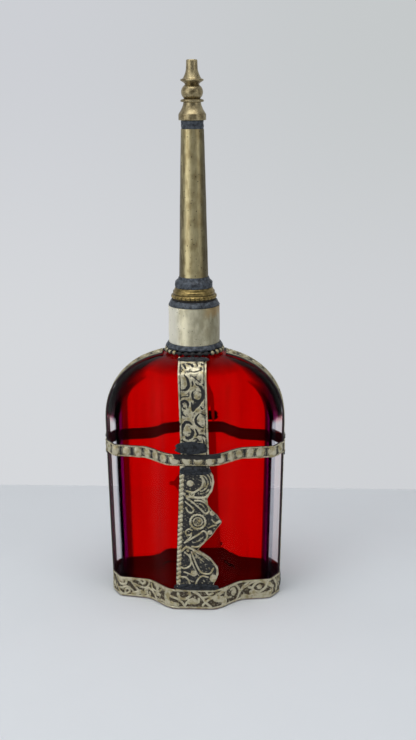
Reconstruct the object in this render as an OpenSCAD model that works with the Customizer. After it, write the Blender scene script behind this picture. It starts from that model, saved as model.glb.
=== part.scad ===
// Rosewater sprinkler: a lobed ruby glass flask in soldered, embossed metal straps,
// with a tall tapered spout that unscrews from the neck and ends in a turned, pierced tip.
// Millimetres, +Z up, foot of the flask on z = 0, flat panels facing -Y (front) and +Y (back).

/* [Flask] */
// Half width of the glass at the waist
glass_half_w = 43.9; // [38:0.1:50]
// Half depth of the glass over the flat middle panels, at the waist
glass_half_d = 26.3; // [24:0.1:30]
// How much narrower each side is at the foot
foot_in_w = 1.6; // [0:0.1:3]
// How much shallower each panel is at the foot
foot_in_d = 1.0; // [0:0.1:2.5]
// Height at which the arched shoulder springs
spring_z = 93; // [88:0.5:98]
// Rise of the arch above its spring
arch_rise = 36; // [33:0.5:40]
// Exponent of the arch curve, 2 for an ellipse
arch_n = 2.3; // [2:0.05:2.8]
// Half width of the flat middle panel
panel_half_w = 9.5; // [8:0.5:12]
// Half width at which the middle lobe has run out into the flanks
lobe_half_w = 25; // [21:0.5:29]
// Depth of the step from the middle panel down to the flanks
lobe_step = 8.6; // [5:0.1:10]
// Further fall of each flank between the panel and the corner bevel
flank_fall = 4.9; // [3:0.1:6]
// Half width of the narrow flat side
side_half_d = 5.4; // [4.5:0.1:6.5]
// Width of the corner bevel as a share of the local half depth
bevel_share = 0.36; // [0.3:0.01:0.42]
// Glass thickness of the walls
glass_wall = 3.2; // [2.2:0.1:4.2]
// Glass thickness of the floor
glass_floor = 5; // [3:0.1:7]
// Outer radius of the glass neck
glass_neck_r = 10.9; // [9.8:0.1:10.9]
// Radius of the hole through the glass neck
glass_bore_r = 7.5; // [7.1:0.1:8.2]
// Height of the glass neck above the top of the arch
glass_neck_h = 20; // [16:0.1:20]

/* [Straps and bands] */
// Thickness of the embossed strip metal
strip_t = 0.9; // [0.6:0.1:1.2]
// Space between the glass and the strips
strip_gap = 0.15; // [0.1:0.05:0.25]
// Height of the lower edge of the base band
base_band_z = 0.6; // [0.4:0.1:1]
// Height of the base band itself
base_band_h = 10.4; // [8:0.1:12]
// Height of the lower edge of the belt
belt_z = 77.4; // [72:0.1:80]
// Height of the belt itself
belt_h = 6; // [5:0.1:7]
// Thickness of the belt strip between its bosses
belt_t = 0.7; // [0.5:0.1:1]
// Distance from one belt boss to the next
boss_pitch = 5.4; // [4.8:0.1:6]
// Width of an oval belt boss
boss_w = 4.1; // [3.4:0.1:4.4]
// Height of an oval belt boss
boss_tall = 4.6; // [3.6:0.1:4.8]
// How far a belt boss stands out of the strip
boss_rise = 0.85; // [0.5:0.05:1]
// How far right of the middle the front and back straps are soldered on
strap_x = 0.6; // [0:0.1:1]
// Width of the front and back straps above the belt
strap_w = 13.6; // [10:0.1:16]
// Width of the straps over the narrow sides
edge_strap_w = 9; // [7:0.1:10]
// Thickness of the straps over the narrow sides
edge_strap_t = 1.2; // [0.8:0.1:1.4]
// Height of the rolled rims along the upper straps
rim_rise = 0.35; // [0.2:0.05:0.5]
// Width of the rolled rims along the upper straps
rim_w = 0.9; // [0.6:0.1:1.4]

/* [Plaque] */
// How far right of the middle the plaque is soldered on
plaque_x = 1.3; // [0:0.1:1.5]
// Distance of the straight border of the plaque from the middle, at its top
plaque_top_x = 7.4; // [6.5:0.1:8]
// Distance of the straight border of the plaque from the middle, at its foot
plaque_foot_x = 10.2; // [9:0.1:11]
// Width of the beaded border
border_w = 2.2; // [1.8:0.1:2.6]
// Radius of the half-moon lobe at the top
moon_r = 6.6; // [5.8:0.1:7]
// Reach of the pointed lobe to the side
point_x = 13; // [11:0.1:13.5]
// Radius of the wire circle in the pointed lobe
wire_ring_r = 4; // [3.4:0.1:4.4]
// Radius of the twisted wire
wire_r = 0.45; // [0.35:0.05:0.55]
// Radius of the fan lobe at the foot
fan_r = 10; // [9:0.1:10.5]
// Number of petals in the fan lobe
petal_count = 4; // [3:1:5]
// Radius of a border bead
bead_r = 0.85; // [0.6:0.05:0.95]
// How far the relief stands out of the plaque
relief_rise = 0.6; // [0.3:0.05:0.9]

/* [Neck] */
// Outer radius of the sleeve
sleeve_r = 12.6; // [12.2:0.1:13]
// Wall of the sleeve
sleeve_wall = 0.55; // [0.4:0.05:0.7]
// Gap between the top of the arch and the lower edge of the sleeve
sleeve_lift = 0.3; // [0.3:0.1:1]
// Length of the sleeve
sleeve_h = 22.4; // [22.4:0.1:26]
// Radius of the circle on which the ring of neck beads is strung
neck_bead_ring_r = 13.55; // [13.5:0.05:14.4]
// Radius of one neck bead
neck_bead_r = 1.3; // [1:0.05:1.4]
// Number of neck beads
neck_bead_count = 26; // [20:1:28]
// Height of the solder fillet round the foot of the sleeve
neck_solder_h = 2.4; // [1.5:0.1:3]
// Thickness of the disc that closes the sleeve
crown_t = 0.8; // [0.6:0.1:1.2]
// Height of the solder cone on top of the sleeve
crown_solder_h = 2.7; // [2:0.1:3]
// Upper radius of the solder cone
crown_solder_r = 11.3; // [10.8:0.1:11.6]

/* [Screw joint] */
// Outer radius of the threaded nipple
nipple_r = 7; // [6.4:0.05:7]
// Radius of the hole through the nipple
nipple_bore_r = 5.5; // [4.6:0.1:5.8]
// How far the nipple reaches above the solder cone
nipple_reach = 6.9; // [6.5:0.1:7.5]
// How far the nipple reaches below the crown disc
nipple_tail = 6; // [4:0.1:8]
// Radius of the flange under the crown disc
nipple_flange_r = 9; // [8.4:0.1:9.6]
// Thickness of the flange under the crown disc
nipple_flange_t = 1.4; // [0.8:0.1:1.5]
// Thickness of the sealing washer
washer_t = 0.8; // [0.5:0.1:1]
// Outer radius of the sealing washer
washer_r = 10.8; // [10:0.1:11]
// Radius of the lower rim of the screw ring
ring_rim_r = 11.2; // [10.8:0.1:11.8]
// Radius of the screw ring at its waist
ring_waist_r = 10.3; // [9.8:0.1:10.6]
// Radius of the top edge of the screw ring
ring_top_r = 9.1; // [8.9:0.1:9.6]
// Height of the outer body of the screw ring
ring_h = 5.2; // [4.8:0.1:6]
// Height of the collar on which the tube stands
collar_h = 1.5; // [1.3:0.1:2]
// Outer radius of the collar
collar_r = 8.2; // [7.8:0.1:8.4]
// Thickness of the web that the tube stands on
web_t = 0.6; // [0.4:0.05:0.8]
// Number of grip notches round the rim
notch_count = 30; // [20:1:36]
// Radius of a grip notch
notch_r = 0.45; // [0.3:0.05:0.5]
// Length of the grip notches
notch_h = 1.5; // [1:0.1:2]

/* [Spout] */
// Outer radius of the tube at its foot
tube_foot_r = 7.2; // [7:0.05:7.4]
// Outer radius of the tube half way up
tube_mid_r = 6.4; // [6.2:0.05:6.6]
// Outer radius of the tube at its top
tube_top_r = 5.5; // [5.3:0.05:5.8]
// Length of the tube
tube_len = 73.6; // [60:0.1:90]
// Wall of the tube
tube_wall = 0.6; // [0.5:0.05:0.7]
// Height of the solder fillet round the foot of the tube
ring_solder_h = 5.2; // [4:0.1:7]
// Height of the solder band between the tube and the tip
tip_solder_h = 4; // [3:0.1:5]
// How far the tip's spigot reaches into the tube
spigot_len = 5; // [4:0.1:8]
// Radius of the spigot
spigot_r = 4.3; // [3.6:0.1:4.4]
// Radius of the hole up through the tip
tip_bore_r = 2.3; // [1.8:0.1:2.4]
// Radius of the sprinkling hole
orifice_r = 1.2; // [0.8:0.1:1.5]
// Depth of the sprinkling hole
orifice_len = 7; // [4:0.1:8]
// Largest radius of the bell skirt of the tip
skirt_r = 6.55; // [6.2:0.05:7]
// Height of the bell skirt
skirt_h = 8.2; // [7.6:0.1:9]
// Radius of the lower turned disc
lower_disc_r = 5.5; // [5:0.05:6]
// Radius of the turned ball
ball_r = 5.15; // [4.6:0.05:5.4]
// Height of the turned ball
ball_h = 5.9; // [5:0.1:6.5]
// Distance from the ball up to the upper turned disc
ball_neck_h = 2.4; // [1.8:0.1:3]
// Radius of the upper turned disc
upper_disc_r = 5.5; // [5:0.05:6]
// Thickness of a turned disc at its edge
disc_t = 0.8; // [0.5:0.05:1.2]
// Radius of the mouth
mouth_r = 2.65; // [2.3:0.05:2.9]
// Height of the mouth piece above the upper disc
mouth_h = 9.2; // [8:0.1:11]

/* [Hidden] */

// Fits and overlaps
seat = 0.05;            // between pieces that are soldered or seated
run_fit = 0.05;         // radial fit of the screw thread
belt_slack = 0.1;       // by which the belt stands further off the glass than the straps
root = 0.3;             // how deep a raised form reaches into its plate
past = 1;               // how far a cutter runs past what it cuts

// Heights that follow from the sizes above
foot_power = 1.2;                                     // how the foot draws in
arch_top_z = spring_z + arch_rise;
belt_top_z = belt_z + belt_h;
base_top_z = base_band_z + base_band_h;
bead_ring_z = arch_top_z + 0.7;                       // level of the neck bead centres
glass_neck_z = arch_top_z + glass_neck_h;
sleeve_z = arch_top_z + sleeve_lift;
sleeve_top_z = sleeve_z + sleeve_h;
crown_z = sleeve_top_z - crown_t;
cone_z = sleeve_top_z + seat;
cone_top_z = cone_z + crown_solder_h;
washer_z = cone_top_z + seat;
ring_z = washer_z + washer_t + seat;
ring_top_z = ring_z + ring_h;
collar_top_z = ring_top_z + collar_h;
nipple_top_z = cone_top_z + nipple_reach;
tube_z = collar_top_z + seat;
tube_top_z = tube_z + tube_len;
tip_z = tube_top_z + tip_solder_h;
skirt_top_z = tip_z + skirt_h;
disc_top_z = skirt_top_z + 2 * disc_t;
ball_top_z = disc_top_z + ball_h;
upper_disc_z = ball_top_z + ball_neck_h;
mouth_z = upper_disc_z + mouth_h;
$fn = 96;

// ---- the shape of the flask -------------------------------------------------------------

function clamp01(t) = min(1, max(0, t));
function ease(t) = let (u = clamp01(t)) u * u * (3 - 2 * u);
// share of the foot's drawing-in at height z
function foot(z) = pow(1 - clamp01(z / spring_z), foot_power);
function wide(z) = glass_half_w - foot_in_w * foot(z);
function deep(z) = glass_half_d - foot_in_d * foot(z);
// height in the arch as a share of its rise, for a surface set in by s
function in_arch(z, s) = max(0, z - spring_z) / (arch_rise - s);
// half width of the arched silhouette
function arch_w(z, s = 0) =
    (wide(z) - s) * pow(max(0, 1 - pow(in_arch(z, s), arch_n)), 1 / arch_n);
// height of the arch over x
function arch_z(x, s = 0) =
    spring_z + (arch_rise - s) * pow(max(0, 1 - pow(x / (glass_half_w - s), arch_n)), 1 / arch_n);
// half depth of the lobed front, without its edges: panel, S-curved step, sloping flank
function lobe(x, z, s) = deep(z) - s
    - lobe_step * ease((x - panel_half_w) / (lobe_half_w - panel_half_w))
    - flank_fall * max(0, x - panel_half_w) / (glass_half_w - panel_half_w - bevel_w);
function side(s) = side_half_d - s / 2;
bevel_w = bevel_share * (glass_half_d - lobe_step - flank_fall);
// half depth of the flask at (x, z): the lobed front, bevelled along the straight sides and
// rounded over along the arch, by the distance to the silhouette
function skin(x, z, s = 0) =
    let (a = wide(z) - s,
         h = in_arch(z, s),
         f = max(0.001, pow(pow(x / a, arch_n) + pow(h, arch_n), 1 / arch_n)),
         gx = pow(x / a, arch_n - 1) / a,
         gz = pow(h, arch_n - 1) / (arch_rise - s),
         slope = max(0.5 / a, pow(f, 1 - arch_n) * norm([gx, gz])),
         front = lobe(x, z, s),
         u = clamp01((1 - f) / slope / (bevel_share * front)),
         up = gz / max(0.000001, norm([gx, gz])),
         g = (1 - up) * u + up * sqrt(1 - pow(1 - u, 2)))
    side(s) + (front - side(s)) * g;

// stations across one half of the front, as distances from the middle at full width
step_pts = 7;
flank_pts = 4;
bevel_pts = 4;
reach_w = glass_half_w - bevel_w;
stations = concat(
    [0, panel_half_w],
    [for (i = [1:step_pts]) panel_half_w + (lobe_half_w - panel_half_w) * i / step_pts],
    [for (i = [1:flank_pts]) lobe_half_w + (reach_w - lobe_half_w) * i / flank_pts]);
// the same stations at height z, in a section set in by s, from the middle to the corner
function section_x(z, s) =
    let (w = arch_w(z, s), inner = max(0.6 * w, w - bevel_w))
    concat([for (x = stations) x * inner / reach_w],
           [for (i = [1:bevel_pts]) inner + (w - inner) * i / bevel_pts]);
// one quarter of a section, from the side (w, 0) round to the middle of the front (0, d)
function quarter(z, s) =
    let (xs = section_x(z, s), n = len(xs))
    concat([[xs[n - 1], 0]], [for (i = [n - 1:-1:0]) [xs[i], skin(xs[i], z, s)]]);
// a whole section, anticlockwise seen from above
function section(z, s = 0) =
    let (q = quarter(z, s), n = len(q))
    concat([for (i = [0:n - 2]) q[i]],
           [for (i = [n - 1:-1:1]) [-q[i][0], q[i][1]]],
           [for (i = [0:n - 2]) -q[i]],
           [for (i = [n - 1:-1:1]) [q[i][0], -q[i][1]]]);
ring_n = len(section(belt_z));
function ring_at(z, pts) = [for (p = pts) [p[0], p[1], z]];
function round_ring(z, r) = [for (i = [0:ring_n - 1]) let (a = 360 * i / ring_n) [r * cos(a), r * sin(a), z]];

// outer and inner rings of the flask, from the foot up
heel = 0.7;
body_rings = 6;
arch_rings = 14;
cavity_rings = 5;
cavity_arch_rings = 9;
function arch_level(i, n, s) = spring_z + (arch_rise - s) * sin(83 * i / n);
outer_rings = concat(
    [ring_at(0, section(0, heel))],
    [for (i = [0:body_rings]) let (z = heel + (spring_z - heel) * i / body_rings) ring_at(z, section(z))],
    [for (i = [1:arch_rings]) let (z = arch_level(i, arch_rings, 0)) ring_at(z, section(z))],
    [round_ring(arch_top_z + 0.2, glass_neck_r), round_ring(glass_neck_z, glass_neck_r)]);
inner_rings = concat(
    [round_ring(glass_neck_z, glass_bore_r), round_ring(arch_top_z - glass_wall + 0.3, glass_bore_r)],
    [for (i = [cavity_arch_rings:-1:1])
        let (z = arch_level(i, cavity_arch_rings, glass_wall)) ring_at(z, section(z, glass_wall))],
    [for (i = [cavity_rings:-1:0])
        let (z = glass_floor + (spring_z - glass_floor) * i / cavity_rings)
        ring_at(z, section(z, glass_wall))]);

// a closed skin through a row of rings with as many points each, its two ends closed as fans
function mean(r) = [for (k = [0:2]) total([for (p = r) p[k]]) / len(r)];
function total(v, i = 0) = i >= len(v) ? 0 : v[i] + total(v, i + 1);
module skin_of(rings) {
    m = len(rings);
    n = len(rings[0]);
    pts = concat([for (r = rings) each r], [mean(rings[0]), mean(rings[m - 1])]);
    sides = [for (j = [0:m - 2], i = [0:n - 1])
        let (k = (i + 1) % n, a = j * n)
        each [[a + i, a + n + i, a + k], [a + k, a + n + i, a + n + k]]];
    first_fan = [for (i = [0:n - 1]) [m * n, i, (i + 1) % n]];
    last_fan = [for (i = [0:n - 1]) [m * n + 1, (m - 1) * n + (i + 1) % n, (m - 1) * n + i]];
    polyhedron(points = pts, faces = concat(sides, first_fan, last_fan), convexity = 8);
}

// ---- strips on the flask ----------------------------------------------------------------

// the space between two offsets of the flask's section at height z, from z_lo up by h
module hoop(z, z_lo, h, gap, t) {
    translate([0, 0, z_lo]) linear_extrude(h) difference() {
        polygon(section(z, -gap - t));
        polygon(section(z, -gap));
    }
}

// a path moved to its left by d, corner by corner
function unit(v) = v / norm(v);
function left_of(v) = [-v[1], v[0]];
function moved(path, d) =
    let (n = len(path))
    [for (i = [0:n - 1])
        let (v = unit(path[min(n - 1, i + 1)] - path[max(0, i - 1)]))
        path[i] + d * left_of(v)];
// a strip between two offsets of a path
module strip_profile(path, gap, t) {
    polygon(concat(moved(path, gap), [for (i = [len(path) - 1:-1:0]) moved(path, gap + t)[i]]));
}

// the front profile (depth, height) over the middle panel, from z_lo up over the shoulder to depth d_end
shoulder_pts = 14;
function over_shoulder(z_lo, d_end) =
    let (knee = arch_top_z - bevel_share * glass_half_d,
         straight = z_lo < knee ? [[deep(z_lo), z_lo], [deep(spring_z), max(z_lo + 0.5, spring_z)]] : [],
         bend = [for (i = [0:3 * shoulder_pts])
             let (z = knee + (arch_top_z - knee) * sin(90 * i / (3 * shoulder_pts)))
             if (z > z_lo && skin(0, z) > d_end) [skin(0, z), z]])
    concat(straight, bend);
// a strap of width w that climbs the front panel and bends over the shoulder
module panel_strap(z_lo, d_end, w, gap, t) {
    rotate([90, 0, -90]) translate([0, 0, -w / 2])
        linear_extrude(w) strip_profile(over_shoulder(z_lo, d_end), -gap, -t);
}

// the edge profile (x, height) from z_lo up along the narrow side to z_hi
function edge_side(z_lo, z_hi) = [for (i = [0:8]) let (z = z_lo + (z_hi - z_lo) * i / 8) [wide(z), z]];
function edge_arch(z_lo, x_end) =
    concat([[wide(z_lo), z_lo], [glass_half_w, spring_z]],
           [for (i = [1:22])
               let (x = x_end + (glass_half_w - x_end) * cos(90 * i / 22)) [x, arch_z(x)]]);
module edge_strap(path) {
    rotate([90, 0, 0]) translate([0, 0, -edge_strap_w / 2])
        linear_extrude(edge_strap_w) strip_profile(path, -strip_gap, -edge_strap_t);
}

strap_end = neck_bead_ring_r + neck_bead_r + 0.7;   // where the straps stop short of the neck beads

module front_strap() {
    color("#c9bf9b") upper_strap();
}
module back_strap() {
    color("#c9bf9b") rotate(180) upper_strap();
}
module upper_strap() {
    translate([strap_x, 0, 0]) panel_strap(belt_top_z + seat, strap_end, strap_w, strip_gap, strip_t);
    for (s = [-1, 1]) translate([strap_x + s * (strap_w - rim_w) / 2, 0, 0])
        panel_strap(belt_top_z + seat, strap_end, rim_w, strip_gap + strip_t - root, root + rim_rise);
}

module left_strap_upper() {
    color("#a39871") mirror([1, 0, 0]) edge_strap(edge_arch(belt_top_z + seat, strap_end));
}
module right_strap_upper() {
    color("#a39871") edge_strap(edge_arch(belt_top_z + seat, strap_end));
}
module left_strap_lower() {
    color("#a39871") mirror([1, 0, 0]) edge_strap(edge_side(base_top_z + seat, belt_z - seat));
}
module right_strap_lower() {
    color("#a39871") edge_strap(edge_side(base_top_z + seat, belt_z - seat));
}

module base_band() {
    color("#c9bf9b") hoop(base_top_z, base_band_z, base_band_h, strip_gap, strip_t);
}

// walking along a closed outline p, whose sides have the lengths ls, to the distance want
function lengths(p) = [for (i = [0:len(p) - 1]) norm(p[(i + 1) % len(p)] - p[i])];
function walk(p, ls, want, i = 0) =
    want <= ls[i] || i == len(p) - 1
        ? p[i] + unit(p[(i + 1) % len(p)] - p[i]) * want
        : walk(p, ls, want - ls[i], i + 1);
// the height of a domed oval boss at a distance u along and v across, as shares of its half sizes
function dome(u, v) = sqrt(max(0, 1 - u * u - v * v));
// stations over one boss, as shares of its half width, and levels of the belt, as shares of its height
boss_marks = [-1, -0.62, 0, 0.62, 1];
belt_levels = [1, 0.9, 0.72, 0.5, 0.28, 0.1, 0];
belt_feel = 0.8;    // how far ahead and behind the belt's direction is read
// one upright cut of the belt: inner edge up, outer face down over the boss
function belt_cut(line, ls, at, boss_at) =
    let (here = walk(line, ls, at),
         v = unit(walk(line, ls, at + belt_feel) - walk(line, ls, at - belt_feel)),
         out = [v[1], -v[0]])
    [for (q = concat([[0, 0], [belt_h, 0]],
                     [for (k = belt_levels)
                         let (u = (at - boss_at) / boss_w * 2, v = (k - 0.5) * belt_h / boss_tall * 2)
                         [belt_h * k, belt_t + boss_rise * dome(u, v)]]))
        [here[0] + out[0] * q[1], here[1] + out[1] * q[1], belt_z + q[0]]];
// the front half of the belt, which meets the back half at the narrow sides
module belt_half() {
    line = section(belt_top_z, -strip_gap - belt_slack);
    ls = lengths(line);
    half = total(ls) / 2;
    count = round(half / boss_pitch);
    pitch = (half - seat) / count;
    start = half + seat / 2;
    cuts = concat(
        [for (i = [0:count - 1]) let (mid = start + (i + 0.5) * pitch)
            each concat([belt_cut(line, ls, mid - pitch / 2, mid)],
                        [for (m = boss_marks) belt_cut(line, ls, mid + m * boss_w / 2, mid)])],
        [belt_cut(line, ls, start + count * pitch, start)]);
    skin_of(cuts);
}
module belt_front() {
    color("#c9bf9b") belt_half();
}
module belt_back() {
    color("#c9bf9b") rotate(180) belt_half();
}

// ---- the scalloped plaque ---------------------------------------------------------------

plaque_z = base_top_z + seat;
plaque_h = belt_z - base_top_z - 2 * seat;
tilt = atan((deep(plaque_z + plaque_h) - deep(plaque_z)) / plaque_h);
// heights of its parts above its foot
moon_z = 57;
notch_z = 49.4;
point_z = 36.5;
waist_z = 22.4;
fan_z = 9;
moon_x = 2.8;
ring_x = 1.2;
fan_x = 1.5;
petal_x = -1.4;
first_petal_len = 12.4;     // the petal that hangs straight down the middle
petal_len = 8.6;
petal_start = 1.2;          // gap between the petals where they spring
leaf_len = 9.6;
bud_len = 5.2;
relief_w = 0.75;            // width of a raised line
arch_r = 2.9;               // radius of the small arches along the foot
arch_field_w = 13;
arch_field_h = 4.2;

function border_x(z) = -plaque_foot_x + (plaque_foot_x - plaque_top_x) * z / plaque_h;
// a drop from a point at the origin to a round head of radius r at distance d along +X
module drop(d, r) {
    a = asin(r / d);
    translate([d, 0]) circle(r);
    touch = d * cos(a) * [cos(a), sin(a)];
    polygon([[0, 0], touch, [touch[0], -touch[1]]]);
}
module plaque_outline() {
    intersection() {
        polygon([[border_x(0), 0], [point_x + past, 0], [point_x + past, plaque_h],
                 [border_x(plaque_h), plaque_h]]);
        union() {
            polygon([[border_x(0), 0], [border_x(0) + border_w + 4, 0], [0, waist_z], [0, plaque_h],
                     [border_x(plaque_h), plaque_h]]);
            translate([moon_x, moon_z]) circle(moon_r);
            translate([0, moon_z]) square([moon_x + 0.6 * moon_r, plaque_h - moon_z]);
            polygon([[-3, notch_z + 2], [3.9, notch_z], [0.6 * point_x, point_z + 6.5], [point_x, point_z],
                     [0.6 * point_x, point_z - 5.5], [3.4, waist_z + 2.4], [-3, waist_z]]);
            for (s = [-1, 1]) translate([ring_x + 4, point_z + 5.8 * s]) circle(3.6);
            translate([fan_x, fan_z]) circle(fan_r);
            polygon([[-3, waist_z + 1], [0.6, waist_z], [fan_x + 0.8 * fan_r, fan_z + 0.6 * fan_r],
                     [-3, fan_z]]);
        }
    }
}
// a raised line of width w along the edge of a shape
module rim_of(w) {
    difference() {
        children();
        offset(delta = -w) children();
    }
}
module drop_rim(d, r, w) {
    difference() {
        drop(d, r);
        translate([2.2 * w, 0]) drop(d - 2.2 * w, r - w);
    }
}
module raised() {
    translate([0, 0, strip_t - root]) linear_extrude(root + relief_rise) children();
}
// a ball of radius r on the plaque's face, sunk into it
module knob(x, z, r, sunk) {
    translate([x, z, strip_t]) intersection() {
        translate([0, 0, -sunk]) sphere(r, $fn = 32);
        translate([-2 * r, -2 * r, -root]) cube(4 * r);
    }
}
module plaque_relief() {
    // beaded straight border with its inner fillet
    for (i = [0:floor((plaque_h - 2 * bead_r) / (2.1 * bead_r))]) {
        z = bead_r + 2.1 * bead_r * i;
        knob(border_x(z) + bead_r + 0.2, z, 0.98 * bead_r, 0);
    }
    fillet_x = [border_x(0) + border_w, border_x(plaque_h) + border_w];
    raised() polygon([[fillet_x[0], 0], [fillet_x[0] + 0.5, 0], [fillet_x[1] + 0.5, plaque_h],
                      [fillet_x[1], plaque_h]]);
    // half-moon with three concentric ribs and a ball in the crook
    raised() intersection() {
        translate([moon_x - 2, moon_z - moon_r]) square([moon_r + 3, 2 * moon_r]);
        translate([moon_x, moon_z]) for (k = [0:2]) difference() {
            circle(moon_r - 0.1 - 1.75 * k);
            circle(moon_r - 0.1 - 1.75 * k - relief_w);
        }
    }
    knob(moon_x - 4.9, moon_z, 1.3, 0.2);
    // wire circle round a domed boss, and granules
    translate([ring_x, point_z, strip_t]) {
        rotate_extrude() translate([wire_ring_r, 0]) circle(wire_r, $fn = 24);
        rotate_extrude() translate([wire_ring_r - 1.2, 0]) circle(0.6 * wire_r, $fn = 24);
    }
    knob(ring_x, point_z, 1.9, 0.9);
    for (g = [[7.9, point_z + 3.6], [7.9, point_z - 3.4], [point_x - 2.2, point_z], [petal_x, fan_z - 0.2]])
        knob(g[0], g[1], 0.8, 0);
    // leaves above and below the circle
    raised() {
        for (s = [-1, 1]) translate([-3.4, point_z + s * 11.5]) rotate(-31 * s)
            drop_rim(leaf_len, 2.5, relief_w);
        for (s = [-1, 1]) translate([-5.2, point_z + s * 9.2]) rotate(-52 * s) drop_rim(bud_len, 1.3, 0.5);
    }
    // petals of the fan
    raised() translate([petal_x, waist_z - 1]) for (i = [0:petal_count - 1])
        rotate(-46 - 74 * i / (petal_count - 1)) translate([petal_start, 0])
            drop_rim(i == 0 ? first_petal_len : petal_len, i == 0 ? 2.6 : 1.8, relief_w);
    // small arches along the foot
    raised() intersection() {
        translate([0.5 - arch_field_w / 2, 0]) square([arch_field_w, arch_field_h]);
        for (x = [-3.4, 2.6]) translate([x, 0.4]) difference() {
            circle(arch_r);
            circle(arch_r - relief_w);
        }
    }
}
// the plaque stands on its foot, relief towards -Y
module plaque() {
    translate([plaque_x, -deep(plaque_z) - strip_gap, plaque_z]) rotate([90 + tilt, 0, 0]) {
        linear_extrude(strip_t) plaque_outline();
        plaque_relief();
    }
}
module front_plaque() {
    color("#b9ad85") plaque();
}
module back_plaque() {
    color("#b9ad85") rotate(180) plaque();
}

// ---- neck -------------------------------------------------------------------------------

module neck_bead_ring() {
    color("#8d8468") {
        translate([0, 0, bead_ring_z]) rotate_extrude()
            translate([neck_bead_ring_r - 0.75, -0.9]) square([0.9, 1.8]);
        for (i = [0:neck_bead_count - 1]) rotate(360 * (i + 0.5) / neck_bead_count)
            translate([neck_bead_ring_r, 0, bead_ring_z]) intersection() {
                sphere(neck_bead_r, $fn = 32);
                translate([-0.6, -2 * neck_bead_r, -2 * neck_bead_r]) cube(4 * neck_bead_r);
            }
    }
}
module neck_solder() {
    r = sleeve_r + seat;
    z = bead_ring_z + neck_bead_r + seat;
    color("#3b3f47") rotate_extrude() polygon([[r, z], [neck_bead_ring_r + 0.5, z],
        [neck_bead_ring_r + 0.2, z + 0.35 * neck_solder_h],
        [r + 0.35, z + neck_solder_h], [r, z + neck_solder_h]]);
}
solder_t = 0.6;             // thickness of a pad of solder
strap_solder_h = 2.2;       // height of the pads at the ends of the front and back straps
belt_solder_h = 6.4;          // height of the pads above the belt
plaque_solder_h = 4.6;      // height of the pads below the belt
side_solder_h = 2.2;        // height of the pads beside the belt on the narrow sides
base_solder_h = 3.4;        // height of the pads along the base band
seam_solder_w = 7;          // width of the pad over the base band's seam
over_relief = 0.35;         // how far a pad stands off the plaque's relief
module strap_solder() {
    color("#33363d") for (a = [0, 180]) rotate(a) translate([strap_x, 0, 0])
        panel_strap(arch_top_z - strap_solder_h, strap_end, strap_w + 1.6,
                    strip_gap + strip_t + rim_rise + seat, solder_t);
}
// a soft-edged pad of solder, w by h, standing out of the face it lies on
module pad(w, h, t) {
    r = min(w, h) / 2 - 0.1;
    linear_extrude(t) {
        square([w - 2 * r, h], center = true);
        square([w, h - 2 * r], center = true);
        for (x = [-1, 1], y = [-1, 1]) translate([x * (w / 2 - r), y * (h / 2 - r)]) circle(r);
    }
}
module belt_solder() {
    face = deep(belt_z) + strip_gap + strip_t + seat;
    strap_face = deep(belt_top_z + 0.2 + belt_solder_h) + strip_gap + strip_t + rim_rise + seat;
    side_face = wide(belt_z) + strip_gap + edge_strap_t + seat + 0.1;
    color("#33363d") for (a = [0, 180]) rotate(a) {
        translate([strap_x, -strap_face, belt_top_z + 0.2 + belt_solder_h / 2]) rotate([90, 0, 0])
            pad(strap_w + 5, belt_solder_h, solder_t);
        translate([plaque_x, -face - relief_rise - over_relief, belt_z - 0.2 - plaque_solder_h / 2])
            rotate([90, 0, 0]) pad(2 * plaque_top_x + 1, plaque_solder_h, solder_t);
        for (z = [belt_top_z + 0.1 + side_solder_h / 2, belt_z - 0.1 - side_solder_h / 2])
            translate([side_face, 0, z]) rotate([90, 0, 90]) pad(edge_strap_w - 0.6, side_solder_h, solder_t);
    }
}
module base_solder() {
    face = deep(base_top_z) + strip_gap + strip_t + seat;
    color("#33363d") for (a = [0, 180]) rotate(a) {
        translate([plaque_x, -face - relief_rise - over_relief, base_top_z + 0.2 + base_solder_h / 2])
            rotate([90, 0, 0]) pad(2 * plaque_foot_x + 1.6, base_solder_h, solder_t);
    }
    side_face = wide(base_top_z) + strip_gap + strip_t + seat;
    color("#33363d") translate([side_face, 0, base_band_z + base_band_h / 2]) rotate([90, 0, 90])
        pad(seam_solder_w, base_band_h - 1, solder_t);
}
module neck_packing() {
    color("#d8d2c4") tube(sleeve_z + 0.5, crown_z - seat, glass_neck_r + seat, sleeve_r - sleeve_wall - seat);
}
// a plain tube between two heights
module tube(z_lo, z_hi, r_in, r_out) {
    translate([0, 0, z_lo]) difference() {
        cylinder(r = r_out, h = z_hi - z_lo);
        translate([0, 0, -past]) cylinder(r = r_in, h = z_hi - z_lo + 2 * past);
    }
}
module neck_sleeve() {
    color("#b5ae93") tube(sleeve_z, sleeve_top_z, sleeve_r - sleeve_wall, sleeve_r);
}
module crown_plate() {
    color("#a79f83") tube(crown_z, sleeve_top_z, nipple_r + seat, sleeve_r - sleeve_wall - seat);
}
module crown_solder() {
    color("#474b52") rotate_extrude() polygon([[nipple_r + seat, cone_z], [sleeve_r, cone_z],
        [sleeve_r + 0.05, cone_z + 0.3], [0.5 * (sleeve_r + crown_solder_r), cone_z + 0.55 * crown_solder_h],
        [crown_solder_r, cone_top_z], [nipple_r + seat, cone_top_z]]);
}

// ---- screw joint ------------------------------------------------------------------------

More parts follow.
